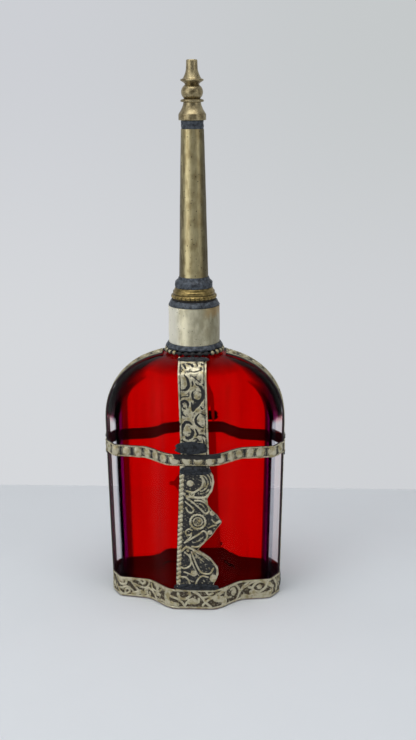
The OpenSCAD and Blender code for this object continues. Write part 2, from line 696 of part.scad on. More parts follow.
module threaded_nipple() {
    z_lo = crown_z - seat - nipple_tail;
    color("#b08d3c") {
        tube(z_lo, nipple_top_z, nipple_bore_r, nipple_r);
        tube(crown_z - seat - nipple_flange_t, crown_z - seat, nipple_bore_r, nipple_flange_r);
    }
}
module seal_washer() {
    color("#1d1a18") tube(washer_z, washer_z + washer_t, nipple_r + run_fit, washer_r);
}
module union_ring() {
    color("#b39446") difference() {
        rotate_extrude() polygon([[nipple_r + run_fit, ring_z], [ring_rim_r - 0.3, ring_z],
            [ring_rim_r, ring_z + 0.3], [ring_rim_r, ring_z + notch_h + 0.1],
            [ring_waist_r, ring_z + notch_h + 0.5],
            [ring_waist_r, ring_z + 0.62 * ring_h], [ring_waist_r - 0.4, ring_z + 0.72 * ring_h],
            [ring_top_r + 0.2, ring_top_z - 0.5], [ring_top_r, ring_top_z], [collar_r, ring_top_z],
            [collar_r, collar_top_z], [nipple_bore_r, collar_top_z], [nipple_bore_r, collar_top_z - web_t],
            [nipple_r + run_fit, collar_top_z - web_t]]);
        for (i = [0:notch_count - 1]) rotate(360 * i / notch_count)
            translate([ring_rim_r + 0.15, 0, ring_z - past])
                cylinder(r = notch_r, h = notch_h + past, $fn = 24);
    }
}

// ---- spout ------------------------------------------------------------------------------

module ring_solder() {
    z = ring_top_z + seat;
    top = z + ring_solder_h;
    r_top = tube_foot_r + (tube_mid_r - tube_foot_r) * (top - tube_z) / (tube_len / 2);
    color("#3b3f47") rotate_extrude() polygon([[collar_r + seat, z], [ring_top_r, z],
        [ring_top_r + 0.15, z + 0.8], [ring_top_r + 0.05, z + 0.5 * ring_solder_h],
        [tube_foot_r + 0.7, z + 0.72 * ring_solder_h],
        [r_top + 0.25, top], [r_top + seat, top], [tube_foot_r + seat, tube_z + seat],
        [collar_r + seat, tube_z + seat]]);
}
module spout_tube() {
    mid = tube_z + tube_len / 2;
    color("#9c8d60") rotate_extrude() polygon([[tube_foot_r - tube_wall, tube_z], [tube_foot_r, tube_z],
        [tube_mid_r, mid], [tube_top_r, tube_top_z], [tube_top_r - tube_wall, tube_top_z],
        [tube_mid_r - tube_wall, mid]]);
}
module tip_solder() {
    color("#474b52") tube(tube_top_z + seat, tip_z - seat, spigot_r + seat, tube_top_r - 0.05);
}
module sprinkler_tip() {
    color("#8f7f4c") difference() {
        rotate_extrude() polygon(tip_profile());
        translate([0, 0, tube_top_z - spigot_len - past])
            cylinder(r = tip_bore_r, h = mouth_z - orifice_len - tube_top_z + spigot_len + past);
        translate([0, 0, tube_top_z]) cylinder(r = orifice_r, h = mouth_z - tube_top_z + past);
    }
}
// the turned outline of the tip: spigot, bell skirt, disc, ball, disc, flared mouth piece
function tip_profile() = concat(
    [[0, tube_top_z - spigot_len], [spigot_r, tube_top_z - spigot_len], [spigot_r, tip_z], [skirt_r, tip_z]],
    [[skirt_r, tip_z + 0.35 * skirt_h]],
    [for (i = [1:6]) let (t = i / 6)
        [4.15 + (skirt_r - 0.1 - 4.15) * pow(1 - t, 1.6), tip_z + skirt_h * (0.35 + 0.65 * t)]],
    [[lower_disc_r, skirt_top_z + 0.4 * disc_t], [lower_disc_r + 0.05, skirt_top_z + 0.9 * disc_t],
     [lower_disc_r - 0.25, skirt_top_z + 1.4 * disc_t], [3.9, disc_top_z]],
    [for (i = [0:8]) let (a = -52 + 104 * i / 8, k = ball_h / (2 * sin(52)))
        [ball_r - k * (1 - cos(a)), disc_top_z + ball_h / 2 + k * sin(a)]],
    [[3.35, ball_top_z + 0.6], [upper_disc_r - 0.5, upper_disc_z - 0.5 * disc_t],
     [upper_disc_r, upper_disc_z - 0.2 * disc_t], [upper_disc_r, upper_disc_z + 0.3 * disc_t],
     [4.55, upper_disc_z + 0.9 * disc_t]],
    [for (i = [1:5]) let (t = i / 5)
        [mouth_r + 0.1 + (4.2 - mouth_r) * pow(1 - t, 1.7), upper_disc_z + 0.8 + 0.55 * (mouth_h - 0.8) * t]],
    [[mouth_r, mouth_z - 0.3], [mouth_r - 0.25, mouth_z], [0, mouth_z]]);

module glass_bottle() {
    color([0.75, 0, 0.03, 0.6]) skin_of(concat(outer_rings, inner_rings));
}

glass_bottle();
base_band();
belt_front();
belt_back();
front_strap();
front_plaque();
back_strap();
back_plaque();
left_strap_upper();
left_strap_lower();
right_strap_upper();
right_strap_lower();
neck_bead_ring();
neck_solder();
strap_solder();
belt_solder();
base_solder();
neck_packing();
neck_sleeve();
crown_plate();
crown_solder();
threaded_nipple();
seal_washer();
union_ring();
ring_solder();
spout_tube();
tip_solder();
sprinkler_tip();
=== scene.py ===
# %% [markdown]
# # A rosewater sprinkler
#
# The object is a moulded ruby glass flask, bound in embossed metal straps that are soldered
# together, with a tall spout that screws onto its neck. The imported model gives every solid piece
# at its real place and size. This file gives each piece its fine shape and its finish, one step
# at a time, and every length in it is in millimetres until a mesh is made.

import bpy
import numpy as np
from mathutils import Matrix


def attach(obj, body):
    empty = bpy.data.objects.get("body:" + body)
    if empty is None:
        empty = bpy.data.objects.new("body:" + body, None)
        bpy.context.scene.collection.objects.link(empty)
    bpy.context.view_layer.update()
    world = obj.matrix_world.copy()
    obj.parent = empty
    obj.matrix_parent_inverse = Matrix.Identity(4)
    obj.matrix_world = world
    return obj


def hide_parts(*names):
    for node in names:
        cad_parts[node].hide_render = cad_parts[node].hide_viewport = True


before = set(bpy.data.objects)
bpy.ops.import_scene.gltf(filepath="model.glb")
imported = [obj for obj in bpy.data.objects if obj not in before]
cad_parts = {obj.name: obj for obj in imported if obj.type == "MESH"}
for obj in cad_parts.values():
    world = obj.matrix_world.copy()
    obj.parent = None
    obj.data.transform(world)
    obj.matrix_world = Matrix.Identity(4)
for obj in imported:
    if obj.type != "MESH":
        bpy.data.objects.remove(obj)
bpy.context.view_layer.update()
MM = 0.001

# %% [markdown]
# ## The camera
#
# The photograph looks a little down on the flask and a little from its right. The place and the
# angles below were found by laying the edges of the base, the belt, the sleeve and the tube over
# the photograph. The long side of the picture is 36 mm of film, so the lens length says how
# narrow the view is. The axes of the camera are worked out from the three angles.

# %% Camera
EYE = (30.3, -495.1, 252.0)
PAN, PITCH, ROLL = np.radians([-2.733, 15.09, -0.344])
PICTURE_W, PICTURE_H = 416, 740
LENS = 50.0
FILM = 36.0


def camera_axes():
    """Right, up and back of a camera that is panned about Z, pitched down and rolled."""
    ahead = np.array([np.sin(PAN) * np.cos(PITCH), np.cos(PAN) * np.cos(PITCH), -np.sin(PITCH)])
    level = np.array([np.cos(PAN), -np.sin(PAN), 0.0])
    upright = np.cross(level, ahead)
    right = np.cos(ROLL) * level + np.sin(ROLL) * upright
    up = np.cos(ROLL) * upright - np.sin(ROLL) * level
    return right, up, -ahead


camera_data = bpy.data.cameras.new("camera")
camera_data.sensor_fit = "VERTICAL"
camera_data.sensor_height = FILM
camera_data.lens = LENS
camera = bpy.data.objects.new("camera", camera_data)
bpy.context.scene.collection.objects.link(camera)
pose = np.eye(4)
pose[:3, :3] = np.column_stack(camera_axes())
pose[:3, 3] = np.array(EYE) * MM
camera.matrix_world = Matrix(pose.tolist())
bpy.context.scene.camera = camera
print("camera sees", round(PICTURE_H / PICTURE_W, 3), "tall for 1 wide")

# %% [markdown]
# ## Shader maths as plain expressions
#
# A material is a graph of nodes. Written node by node it is long and hard to read, so one small
# class wraps an output socket and turns `a * b + 1` into Math nodes. A second class holds one
# material: it adds any node from its type, its settings and its inputs.

# %% Shader helpers


class Wire:
    """An output socket on which + - and * add Math nodes."""

    def __init__(self, out):
        self.out = out

    def math(self, operation, *others):
        tree = self.out.id_data
        node = tree.nodes.new("ShaderNodeMath")
        node.operation = operation
        for socket, value in zip(node.inputs, (self,) + others):
            plug(tree, socket, value)
        return Wire(node.outputs[0])

    def __add__(self, other):
        return self.math("ADD", other)

    def __mul__(self, other):
        return self.math("MULTIPLY", other)

    def __sub__(self, other):
        return self.math("SUBTRACT", other)

    def __rsub__(self, other):
        return (self * -1) + other

    __radd__ = __add__
    __rmul__ = __mul__

    def smooth(self, low, high):
        """0 below low, 1 above high and an S-shaped rise between."""
        tree = self.out.id_data
        node = tree.nodes.new("ShaderNodeMapRange")
        node.interpolation_type = "SMOOTHSTEP"
        for name, value in (("Value", self), ("From Min", low), ("From Max", high)):
            plug(tree, node.inputs[name], value)
        return Wire(node.outputs[0])


def plug(tree, socket, value):
    """Links a wire to a socket, or sets the socket's own value."""
    if isinstance(value, Wire):
        tree.links.new(value.out, socket)
    elif isinstance(value, tuple) and len(value) == 3 and socket.type == "RGBA":
        socket.default_value = (*value, 1.0)
    else:
        socket.default_value = value


class Finish:
    """One material: a Principled shader with its output, to which nodes are added."""

    def __init__(self, name):
        self.material = bpy.data.materials.new(name)
        self.material.use_nodes = True
        self.tree = self.material.node_tree
        self.shader = self.tree.nodes["Principled BSDF"]
        self.own = Wire(self.shader.outputs[0])
        self.place = self.add("TexCoord", out="Object")

    def add(self, kind, settings=None, out=0, **inputs):
        node = self.tree.nodes.new("ShaderNode" + kind)
        for name, value in (settings or {}).items():
            setattr(node, name, value)
        for name, value in inputs.items():
            key = int(name[1:]) if name[1:].isdigit() else name.replace("_", " ")
            plug(self.tree, node.inputs[key], value)
        return Wire(node.outputs[out])

    def axis(self, name):
        """The place along X, Y or Z, in millimetres."""
        return self.add("SeparateXYZ", Vector=self.place, out=name) * 1000.0

    def number(self, name):
        """A number that the mesh carries at each of its points."""
        return self.add("Attribute", {"attribute_name": name}, out="Fac")

    def noise(self, size_mm, detail, stretch=(1.0, 1.0, 1.0)):
        """Cloudy noise whose blobs are about size_mm across, from 0 to 1."""
        scale = tuple(s / (size_mm * MM) for s in stretch)
        moved = self.add("Mapping", Vector=self.place, Scale=scale)
        return self.add("TexNoise", Vector=moved, Scale=1.0, Detail=detail, Roughness=0.55)

    def speckle(self, size_mm, reach):
        """Round dots of about size_mm, 1 at their middles and 0 past their edges."""
        cell = self.add("TexVoronoi", Vector=self.place, Scale=1.0 / (size_mm * MM))
        return 1 - cell.smooth(0.1, reach)

    def blend(self, share, first, second):
        """The colour first where share is 0 and second where it is 1."""
        return self.add("Mix", {"data_type": "RGBA"}, out=2, i0=share, i6=first, i7=second)

    def bump(self, height, depth_mm):
        return self.add("Bump", Height=height, Distance=depth_mm * MM, Strength=1.0)

    def show(self, shader):
        """Makes the given shader the one that the surface shows."""
        self.tree.links.new(shader.out, self.tree.nodes["Material Output"].inputs["Surface"])

    def set(self, **inputs):
        for name, value in inputs.items():
            plug(self.tree, self.shader.inputs[name.replace("_", " ")], value)
        return self.material


print("shader helpers ready")

# %% [markdown]
# ## Pieces as surfaces on a grid
#
# Every new piece is a closed loop of points, carried along a path. The loop can be the section
# of a strip or the profile of a turned piece. numpy works out all the loops at once as an array
# of rings by points, and one function joins ring to ring with four-sided faces. A piece whose
# rings don't come back to the start is closed at both ends.

# %% Grids to meshes


def loft(name, rings, ring_closed=False, values=None, sharp=40.0):
    """Faces between neighbouring points of neighbouring rings. rings is an array of rings by
    points by 3 in millimetres, and each ring is a closed loop. ring_closed joins the last ring
    to the first, and otherwise each end is closed by one face. values is a dictionary of numbers
    for each point, and sharp is the angle in degrees from which an edge isn't smoothed."""
    m, n = rings.shape[:2]
    rows = m if ring_closed else m - 1
    j, i = np.meshgrid(np.arange(rows), np.arange(n), indexing="ij")
    up, on = (j + 1) % m, (i + 1) % n
    quads = np.stack([j * n + i, j * n + on, up * n + on, up * n + i], -1).reshape(-1, 4)
    points = rings.reshape(-1, 3)
    a, b, c, d = (points[quads[:, k]] for k in range(4))
    volume = (a * (np.cross(b, c) + np.cross(c, d))).sum()
    faces = quads.tolist()
    if not ring_closed:
        faces += [list(range(n))[::-1], list(range((m - 1) * n, m * n))]
    if volume < 0:  # the faces look inwards
        faces = [face[::-1] for face in faces]
    mesh = bpy.data.meshes.new(name)
    mesh.from_pydata((points * MM).tolist(), [], faces)
    for key, numbers in (values or {}).items():
        attribute = mesh.attributes.new(key, "FLOAT", "POINT")
        attribute.data.foreach_set("value", np.asarray(numbers, np.float32).ravel())
    mesh.shade_smooth()
    mesh.set_sharp_from_angle(angle=np.radians(sharp))
    return mesh


def piece(mesh, body, slot, material, *stands_for):
    """Puts a mesh into the scene as one piece that rides on a body and stands for CAD nodes."""
    made = bpy.data.objects.new(mesh.name, mesh)
    bpy.context.scene.collection.objects.link(made)
    mesh.materials.append(material)
    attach(made, body)
    if stands_for:
        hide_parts(*stands_for)
    print(made.name, len(mesh.polygons), "faces")
    return made


def turned(profile, count):
    """Rings of a turned piece: the closed profile of radius and height, set round the Z axis."""
    profile = np.asarray(profile, float)
    angle = np.linspace(0, 2 * np.pi, count, endpoint=False)[:, None]
    r, z = profile[:, 0][None], profile[:, 1][None]
    return np.stack([r * np.cos(angle), r * np.sin(angle), z + 0 * angle], -1)


def noise_1d(count, waves, seed):
    """A smooth random line of count values that closes on itself, with about waves humps."""
    dice = np.random.default_rng(seed)
    t = np.linspace(0, 2 * np.pi, count, endpoint=False)
    total = np.zeros(count)
    for k in range(1, waves + 1):
        total += dice.normal() * np.cos(k * t + dice.uniform(0, 2 * np.pi)) / np.sqrt(k)
    return total / np.abs(total).max()


print("grid helpers ready")

# %% [markdown]
# ## The shape of the flask
#
# The flask was blown into a mould. Seen from the front it is a wide arch, and seen from above
# each face has a flat middle panel, an S-shaped step down to a sloping flank and a bevel at the
# corner. The same formula as in the solid model gives the half depth at any point, so everything
# that lies on the glass can be placed by it. The sections are smoothed, because moulded glass
# has no sharp edges.

# %% Flask formula
GLASS_W, GLASS_D = 43.9, 26.3
FOOT_W, FOOT_D, FOOT_POWER = 1.6, 1.0, 1.2
SPRING_Z, ARCH_RISE, ARCH_N = 93.0, 36.0, 2.3
ARCH_TOP = SPRING_Z + ARCH_RISE
PANEL_W, LOBE_W = 9.5, 25.0
LOBE_STEP, FLANK_FALL = 8.6, 4.9
SIDE_D, BEVEL = 5.4, 0.36
BEVEL_W = BEVEL * (GLASS_D - LOBE_STEP - FLANK_FALL)
WALL, FLOOR = 3.2, 5.0


def foot(z):
    """How far the foot draws in at height z: 1 at the ground and 0 from the spring up."""
    return (1 - np.clip(z / SPRING_Z, 0, 1)) ** FOOT_POWER


def half_width(z):
    return GLASS_W - FOOT_W * foot(z)


def panel_depth(z):
    return GLASS_D - FOOT_D * foot(z)


def arch_half_width(z, inset=0.0):
    """Half width of the arched outline at height z, set in by inset."""
    share = np.clip(z - SPRING_Z, 0, None) / (ARCH_RISE - inset)
    return (half_width(z) - inset) * np.clip(1 - share**ARCH_N, 0, None) ** (1 / ARCH_N)


def skin_depth(x, z, inset=0.0):
    """Half depth at (x, z): the lobed front, bevelled along the straight sides and rounded
    along the arch by the distance to the outline, as a share of the local depth."""
    x = np.abs(x)
    a, b = half_width(z) - inset, ARCH_RISE - inset
    h = np.clip(z - SPRING_Z, 0, None) / b
    f = np.maximum(0.001, ((x / a) ** ARCH_N + h**ARCH_N) ** (1 / ARCH_N))
    gx, gz = (x / a) ** (ARCH_N - 1) / a, h ** (ARCH_N - 1) / b
    g = np.hypot(gx, gz)
    slope = np.maximum(0.5 / a, f ** (1 - ARCH_N) * g)
    t = np.clip((x - PANEL_W) / (LOBE_W - PANEL_W), 0, 1)
    flank = np.clip(x - PANEL_W, 0, None) / (GLASS_W - PANEL_W - BEVEL_W)
    front = panel_depth(z) - inset - LOBE_STEP * t * t * (3 - 2 * t) - FLANK_FALL * flank
    u = np.clip((1 - f) / slope / (BEVEL * front), 0, 1)
    up = gz / np.maximum(1e-6, g)
    rise = (1 - up) * u + up * np.sqrt(1 - (1 - u) ** 2)
    side = SIDE_D - inset / 2
    return side + (front - side) * rise


def smooth_loop(points, sigma):
    """A closed row of points blurred along itself by a bell curve of sigma points."""
    reach = int(3 * sigma) + 1
    k = np.arange(-reach, reach + 1)
    weight = np.exp(-0.5 * (k / sigma) ** 2)
    weight /= weight.sum()
    return sum(w * np.roll(points, s, axis=0) for w, s in zip(weight, k))


def outline(z, inset, count, sigma):
    """The flask's outline at height z, anticlockwise from +X, as count equally spaced points."""
    w = arch_half_width(z, inset)
    x = np.concatenate([np.full(20, w), w * np.cos(np.linspace(0, np.pi / 2, 700))])
    y = skin_depth(x, z, inset)
    y[:20] = np.linspace(0, y[19], 20)
    quarter = np.column_stack([x, y])
    half = np.vstack([quarter, (quarter * [-1, 1])[-2::-1]])
    whole = np.vstack([half, -half[1:-1]])
    step = np.linalg.norm(np.roll(whole, -1, axis=0) - whole, axis=1)
    along = np.concatenate([[0], np.cumsum(step)])
    want = np.linspace(0, along[-1], count, endpoint=False)
    closed = np.vstack([whole, whole[:1]])
    even = np.column_stack([np.interp(want, along, closed[:, k]) for k in (0, 1)])
    return smooth_loop(even, sigma * count / along[-1]) if sigma else even


belt_line = outline(80.4, 0.0, 1000, 0.4)
belt_steps = np.linalg.norm(np.roll(belt_line, -1, axis=0) - belt_line, axis=1)
print("round the belt", round(float(belt_steps.sum()), 1), "mm")

# %% [markdown]
# ## Ruby glass
#
# The glass is flashed: a thin ruby layer lies inside a clear wall. The narrow sides show the pale
# room through clear glass, and only what lies behind the layer is red. So the wall is one piece
# of clear glass and the layer is a second, very thin one inside it, which only tints the light
# that passes. Light that grazes the layer runs a longer way in it and comes out a dark purple.
# Near the arched rim and beside the narrow sides the layer is also darkened as painted shade.

# %% Glass finishes
CLEAR_TONE = (0.97, 0.97, 0.98)
GLASS_INDEX = 1.5
BENT_ONLY = 0.7


def clear_glass():
    """Clean moulded glass: smooth, with very slow waves from the mould. Most of it only bends the
    light, so that the pale room doesn't veil the red. Where the bare number rises, on the narrow
    sides, most light goes straight through."""
    finish = Finish("clear_glass")
    waves = finish.noise(14.0, detail=1.0)
    bare = finish.number("bare")
    straight = finish.add("BsdfTransparent", Color=CLEAR_TONE)
    bent = finish.add("BsdfRefraction", Color=CLEAR_TONE, Roughness=0.0, IOR=GLASS_INDEX)
    body = finish.add("MixShader", i0=BENT_ONLY, i1=finish.own, i2=bent)
    finish.show(finish.add("MixShader", i0=bare * 0.9, i1=body, i2=straight))
    return finish.set(Base_Color=CLEAR_TONE, Roughness=0.0, IOR=GLASS_INDEX, Transmission_Weight=1.0,
                      Specular_Tint=(0.05, 0.05, 0.05), Normal=finish.bump(waves, 0.05))


def ruby_layer():
    """Each face of the layer takes out nearly all green and blue, and more light at a slant. Near the
    arched rim and beside the clear narrow sides, where its rim number rises, it is darkened to a
    dark purple as painted shade. Where its bare number is 1 there's no ruby."""
    finish = Finish("ruby_layer")
    slant = finish.add("LayerWeight", out="Facing", Blend=0.5).smooth(0.42, 0.80)
    rim, bare = finish.number("rim"), finish.number("bare")
    tints = ((0.955, 0.02, 0.03), (0.80, 0.01, 0.14), (0.46, 0.01, 0.27), CLEAR_TONE)
    red, wine, dark, clear = (finish.add("BsdfTransparent", Color=tint) for tint in tints)
    streaks = finish.noise(7.0, detail=2.0, stretch=(1.0, 1.0, 0.06)).smooth(0.46, 0.72) * 0.55
    body = finish.add("MixShader", i0=streaks, i1=red, i2=wine)
    # The rim number mixes in the dark tint as painted shade.
    tinted = finish.add("MixShader", i0=slant.math("MAXIMUM", rim), i1=body, i2=dark)
    finish.show(finish.add("MixShader", i0=bare, i1=tinted, i2=clear))
    return finish.material


CLEAR, RUBY = clear_glass(), ruby_layer()
print("glass finishes", CLEAR.name, RUBY.name)

# %% Flask mesh
NECK_R, BORE_R, NECK_TOP = 10.9, 7.5, 149.0
HEEL_R = 0.9
ARCH_END = np.radians(83)
RING_POINTS = 448
BLUR = 0.8
LAYER_IN, LAYER_THICK = 0.25, 0.06
BARE = 5.4


def flutes(z):
    """Faint upright waves of the blown inner face, in mm: three runs of random humps round the
    flask that change slowly with height."""
    rows = [noise_1d(RING_POINTS, waves, seed) for waves, seed in ((70, 1), (70, 2), (34, 3))]
    slow = z / 45.0
    return 0.045 * (rows[0] * np.cos(slow) + rows[1] * np.sin(slow)) + 0.05 * rows[2]


def ring_of(z, inset, blown=0.0):
    flat = outline(z, inset, RING_POINTS, BLUR)
    if blown:
        d = np.roll(flat, -1, axis=0) - np.roll(flat, 1, axis=0)
        d /= np.linalg.norm(d, axis=1)[:, None]
        flat = flat + np.column_stack([d[:, 1], -d[:, 0]]) * (blown * flutes(z))[:, None]
    return np.column_stack([flat, np.full(RING_POINTS, z)])


def circle(radius, z):
    angle = np.linspace(0, 2 * np.pi, RING_POINTS, endpoint=False)
    return np.column_stack([radius * np.cos(angle), radius * np.sin(angle), np.full(RING_POINTS, z)])


def shrunk(ring, shares):
    """Copies of a flat ring drawn in towards the axis."""
    return [ring * [s, s, 1] for s in shares]


def outer_face():
    """Rings from the foot's middle out to the heel and up to the lip of the neck."""
    heel = [(HEEL_R * (1 - np.sin(a)), HEEL_R * (1 - np.cos(a))) for a in np.linspace(0, np.pi / 2, 5)]
    walls = np.linspace(3, SPRING_Z, 14)
    arch = SPRING_Z + ARCH_RISE * np.sin(np.linspace(0, ARCH_END, 70)[1:])
    rings = shrunk(ring_of(0.0, heel[0][0]), (0.001, 0.4, 0.7, 0.9)) + [ring_of(z, s) for s, z in heel]
    rings += [ring_of(z, 0.0) for z in walls] + [ring_of(z, 0.0) for z in arch]
    return rings + [circle(NECK_R, z) for z in np.linspace(ARCH_TOP + 0.2, NECK_TOP, 6)]


def inner_face(deeper, arch_rings):
    """Rings from the lip of the neck down the wall of the hollow to its floor's middle. deeper
    sets the face further into the glass."""
    wall, round_r = WALL - deeper, 5.0
    rings = [circle(BORE_R + deeper, z) for z in np.linspace(NECK_TOP - deeper, ARCH_TOP - wall + 0.3, 6)]
    roof = SPRING_Z + (ARCH_RISE - wall) * np.sin(np.linspace(ARCH_END, 0, arch_rings))
    rings += [ring_of(z, wall, 1.0) for z in roof]
    rings += [ring_of(z, wall, 1.0) for z in np.linspace(SPRING_Z, FLOOR + 5, 14)[1:]]
    corner = np.linspace(np.pi / 2, 0, 9)[1:]
    heights = FLOOR - deeper + (round_r + deeper) * (1 - np.cos(corner))
    rings += [ring_of(z, inset, 1.0) for z, inset in zip(heights, wall + round_r * (1 - np.sin(corner)))]
    return rings + shrunk(rings[-1], (0.9, 0.7, 0.4, 0.001))


def bare_share(rings):
    """1 on the narrow sides below the arch, which have no ruby layer, and 0 elsewhere."""
    to_edge = half_width(rings[..., 2]) - np.abs(rings[..., 0])
    above = np.clip((rings[..., 2] - 5.0) / 1.5, 0, 1)
    below = np.clip((97.0 - rings[..., 2]) / 3, 0, 1)
    return np.clip((BARE - to_edge) / 0.5, 0, 1) * above * below


flask_rings = np.array(outer_face() + inner_face(0.0, 50))
flask = loft("flask", flask_rings, values={"bare": bare_share(flask_rings)}, sharp=60.0)
piece(flask, "bottle", "ruby_glass", CLEAR, "glass_bottle")
layer_rings = np.array(inner_face(LAYER_IN, 36) + inner_face(LAYER_IN + LAYER_THICK, 36)[::-1])
side, high = np.abs(layer_rings[..., 0]), layer_rings[..., 2]
bare = bare_share(layer_rings)
# The rim number is painted shade: it darkens the layer in a band inside the arched outline and in a stripe
# beside each bare narrow side.
to_arch = np.minimum(arch_half_width(high) - side, ARCH_TOP - high)
rim = 0.8 * np.clip((9.0 - to_arch) / 4, 0, 1) * np.clip((high - SPRING_Z + 6) / 12, 0, 1)
to_edge = half_width(high) - side
rim = np.maximum(rim, np.clip((BARE + 3.4 - to_edge) / 0.6, 0, 1))
layer = loft("ruby_layer", layer_rings, ring_closed=True, values={"bare": bare, "rim": rim}, sharp=60.0)
piece(layer, "bottle", "ruby_glass", RUBY)
print("bare share of the layer", round(float(bare.mean()), 3))

# %% [markdown]
# ## Finishes of the metals
#
# The embossed strips are pale nickel silver. Their raised parts are worn bright and their hollows
# are black with old patina. The mesh of each strip carries a number called relief, which is 0 in
# a hollow, 1 on a ridge and -1 on the back, and the finish reads it. The solder is dark and lumpy,
# the tube and the tip are an olive brass, and the screw ring is yellower.

# %% Embossed silver, solder and brasses


def embossed_silver(name, lit, bright=(0.60, 0.555, 0.405), warm=(0.37, 0.31, 0.165),
                    hollow=(0.012, 0.012, 0.013)):
    """Worn bright on the ridges, black in the hollows, with warm tarnished clouds between, and a
    near-black purple at the back as painted shade. lit is how brightly that back glows for rays
    through the glass, a painted light in place of the light inside the flask, which the lamps can't
    send through the glass."""
    finish = Finish(name)
    relief = finish.number("relief")
    grain = finish.noise(0.30, detail=2.0)
    cloud = finish.noise(2.6, detail=4.0).smooth(0.42, 0.66)
    metal = finish.blend(cloud, bright, warm)
    blot = finish.noise(0.8, detail=3.0)
    smudge = blot.smooth(0.58, 0.76)
    metal = finish.blend(smudge * 0.6, metal, (0.10, 0.085, 0.055))
    worn = (relief + (grain - 0.5) * 0.5 + (blot - 0.5) * 0.8).smooth(0.26, 0.62)
    color = finish.blend(worn, hollow, metal)
    # Painted shade: the back, where the strip lies against the glass, is near-black purple.
    back = relief.smooth(-0.3, -0.7)
    color = finish.blend(back, color, (0.03, 0.002, 0.012))
    # Painted light: rays through the glass see the back glow instead.
    glow = finish.add("Emission", Color=(lit, lit, lit), Strength=1.0)
    passed = finish.add("LightPath", out="Is Transmission Ray") * back
    finish.show(finish.add("MixShader", i0=passed, i1=finish.own, i2=glow))
    rough = 0.58 - worn * 0.22 + grain * 0.16
    return finish.set(Base_Color=color, Metallic=worn * 0.85, Roughness=rough,
                      Normal=finish.bump(grain, 0.05))


def dark_solder(name, dark=(0.006, 0.007, 0.009), light=(0.030, 0.035, 0.042), wear=(0.12, 0.13, 0.15)):
    """Blue-black lead solder: mottled, pitted, with grey wear on its lumps."""
    finish = Finish(name)
    lumps = finish.noise(1.6, detail=4.0)
    grain = finish.noise(0.35, detail=3.0)
    pits = finish.speckle(0.9, reach=0.35)
    base = finish.blend(lumps.smooth(0.35, 0.62), dark, light)
    color = finish.blend(grain.smooth(0.58, 0.74) * 0.5, base, wear)
    height = lumps + grain * 0.35 - pits * 0.3
    return finish.set(Base_Color=color, Metallic=0.55, Roughness=0.36 + lumps * 0.30,
                      Normal=finish.bump(height, 0.30))


def aged_brass(name, bright, dull, streak=6.0, shaded_sides=False):
    """Drawn brass with upright streaks, brown spots and a fine scratched grain. With shaded sides,
    the colour darkens towards the left and right as painted shade, and the middle stays bright."""
    finish = Finish(name)
    streaks = finish.noise(1.4, detail=3.0, stretch=(1.0, 1.0, 1.0 / streak))
    cloud = finish.noise(5.0, detail=4.0)
    scratch = finish.noise(0.25, detail=2.0, stretch=(1.0, 1.0, 0.12))
    spots = finish.speckle(2.2, reach=0.16)
    tone = (cloud * 0.6 + streaks * 0.4).smooth(0.36, 0.62)
    color = finish.blend(tone, dull, bright)
    if shaded_sides:
        # Painted shade: darker towards both sides as seen from the front, more on the right.
        x = finish.axis("X") + (streaks - 0.5) * 5.0
        side_shade = x.smooth(0.5, 6.0) * 0.80 + x.smooth(-2.0, -6.5) * 0.74
        color = finish.blend(side_shade, color, (0.05, 0.04, 0.022))
    color = finish.blend(spots * 0.8, color, (0.035, 0.027, 0.015))
    rough = 0.30 + cloud * 0.14 + spots * 0.3
    return finish.set(Base_Color=color, Metallic=0.92, Roughness=rough,
                      Normal=finish.bump(scratch + cloud * 0.4, 0.03))


def sleeve_metal(name):
    """Pale champagne sleeve with a painted highlight down its left, painted shade towards its
    right, an amber stain high on its right, and black at its foot.
    """
    finish = Finish(name)
    x, height = finish.axis("X"), finish.axis("Z")
    smear = finish.noise(3.4, detail=4.0, stretch=(1.0, 1.0, 0.45))
    grain = finish.noise(0.3, detail=2.0, stretch=(1.0, 1.0, 0.2))
    color = finish.blend(smear.smooth(0.36, 0.66), (0.74, 0.69, 0.50), (0.50, 0.455, 0.31))
    # Painted highlight: a near-white band down the left side.
    color = finish.blend((x + smear * 4.0).smooth(-3.0, -7.5) * 0.9, color, (0.96, 0.92, 0.77))
    # Painted shade: darker towards the right side.
    color = finish.blend((x + smear * 4.0).smooth(2.0, 11.0) * 0.6, color, (0.16, 0.145, 0.085))
    stain = x.smooth(4.0, 8.5) * (height + smear * 6.0).smooth(149.0, 153.0)
    color = finish.blend(stain * 0.65, color, (0.36, 0.23, 0.08))
    # Darker to black at the very foot, below about 130.5 mm.
    low = (height - smear * 5.0).smooth(130.5, 128.6)
    color = finish.blend(low, color, (0.03, 0.03, 0.03))
    spots = finish.speckle(1.8, reach=0.14)
    color = finish.blend(spots * 0.7, color, (0.05, 0.04, 0.025))
    return finish.set(Base_Color=color, Metallic=0.9, Roughness=0.30 + smear * 0.2,
                      Normal=finish.bump(grain + smear, 0.04))


def ring_metal(name):
    """Yellow brass, bright on the edges that hands touch and brown in the grip notches."""
    finish = Finish(name)
    relief = finish.number("relief")
    cloud = finish.noise(2.2, detail=4.0)
    grain = finish.noise(0.22, detail=2.0)
    color = finish.blend(cloud.smooth(0.38, 0.64), (0.32, 0.235, 0.09), (0.15, 0.11, 0.04))
    color = finish.blend((relief + (cloud - 0.5) * 0.4).smooth(0.55, 0.15), color, (0.045, 0.032, 0.014))
    return finish.set(Base_Color=color, Metallic=0.95, Roughness=0.27 + cloud * 0.2,
                      Normal=finish.bump(grain + cloud, 0.035))


def matt(name, light, dark, depth_mm):
    """A dull, grainy stuff: plaster or leather."""
    finish = Finish(name)
    grain = finish.noise(0.4, detail=5.0)
    return finish.set(Base_Color=finish.blend(grain.smooth(0.3, 0.7), light, dark), Roughness=0.85,
                      Normal=finish.bump(grain, depth_mm))


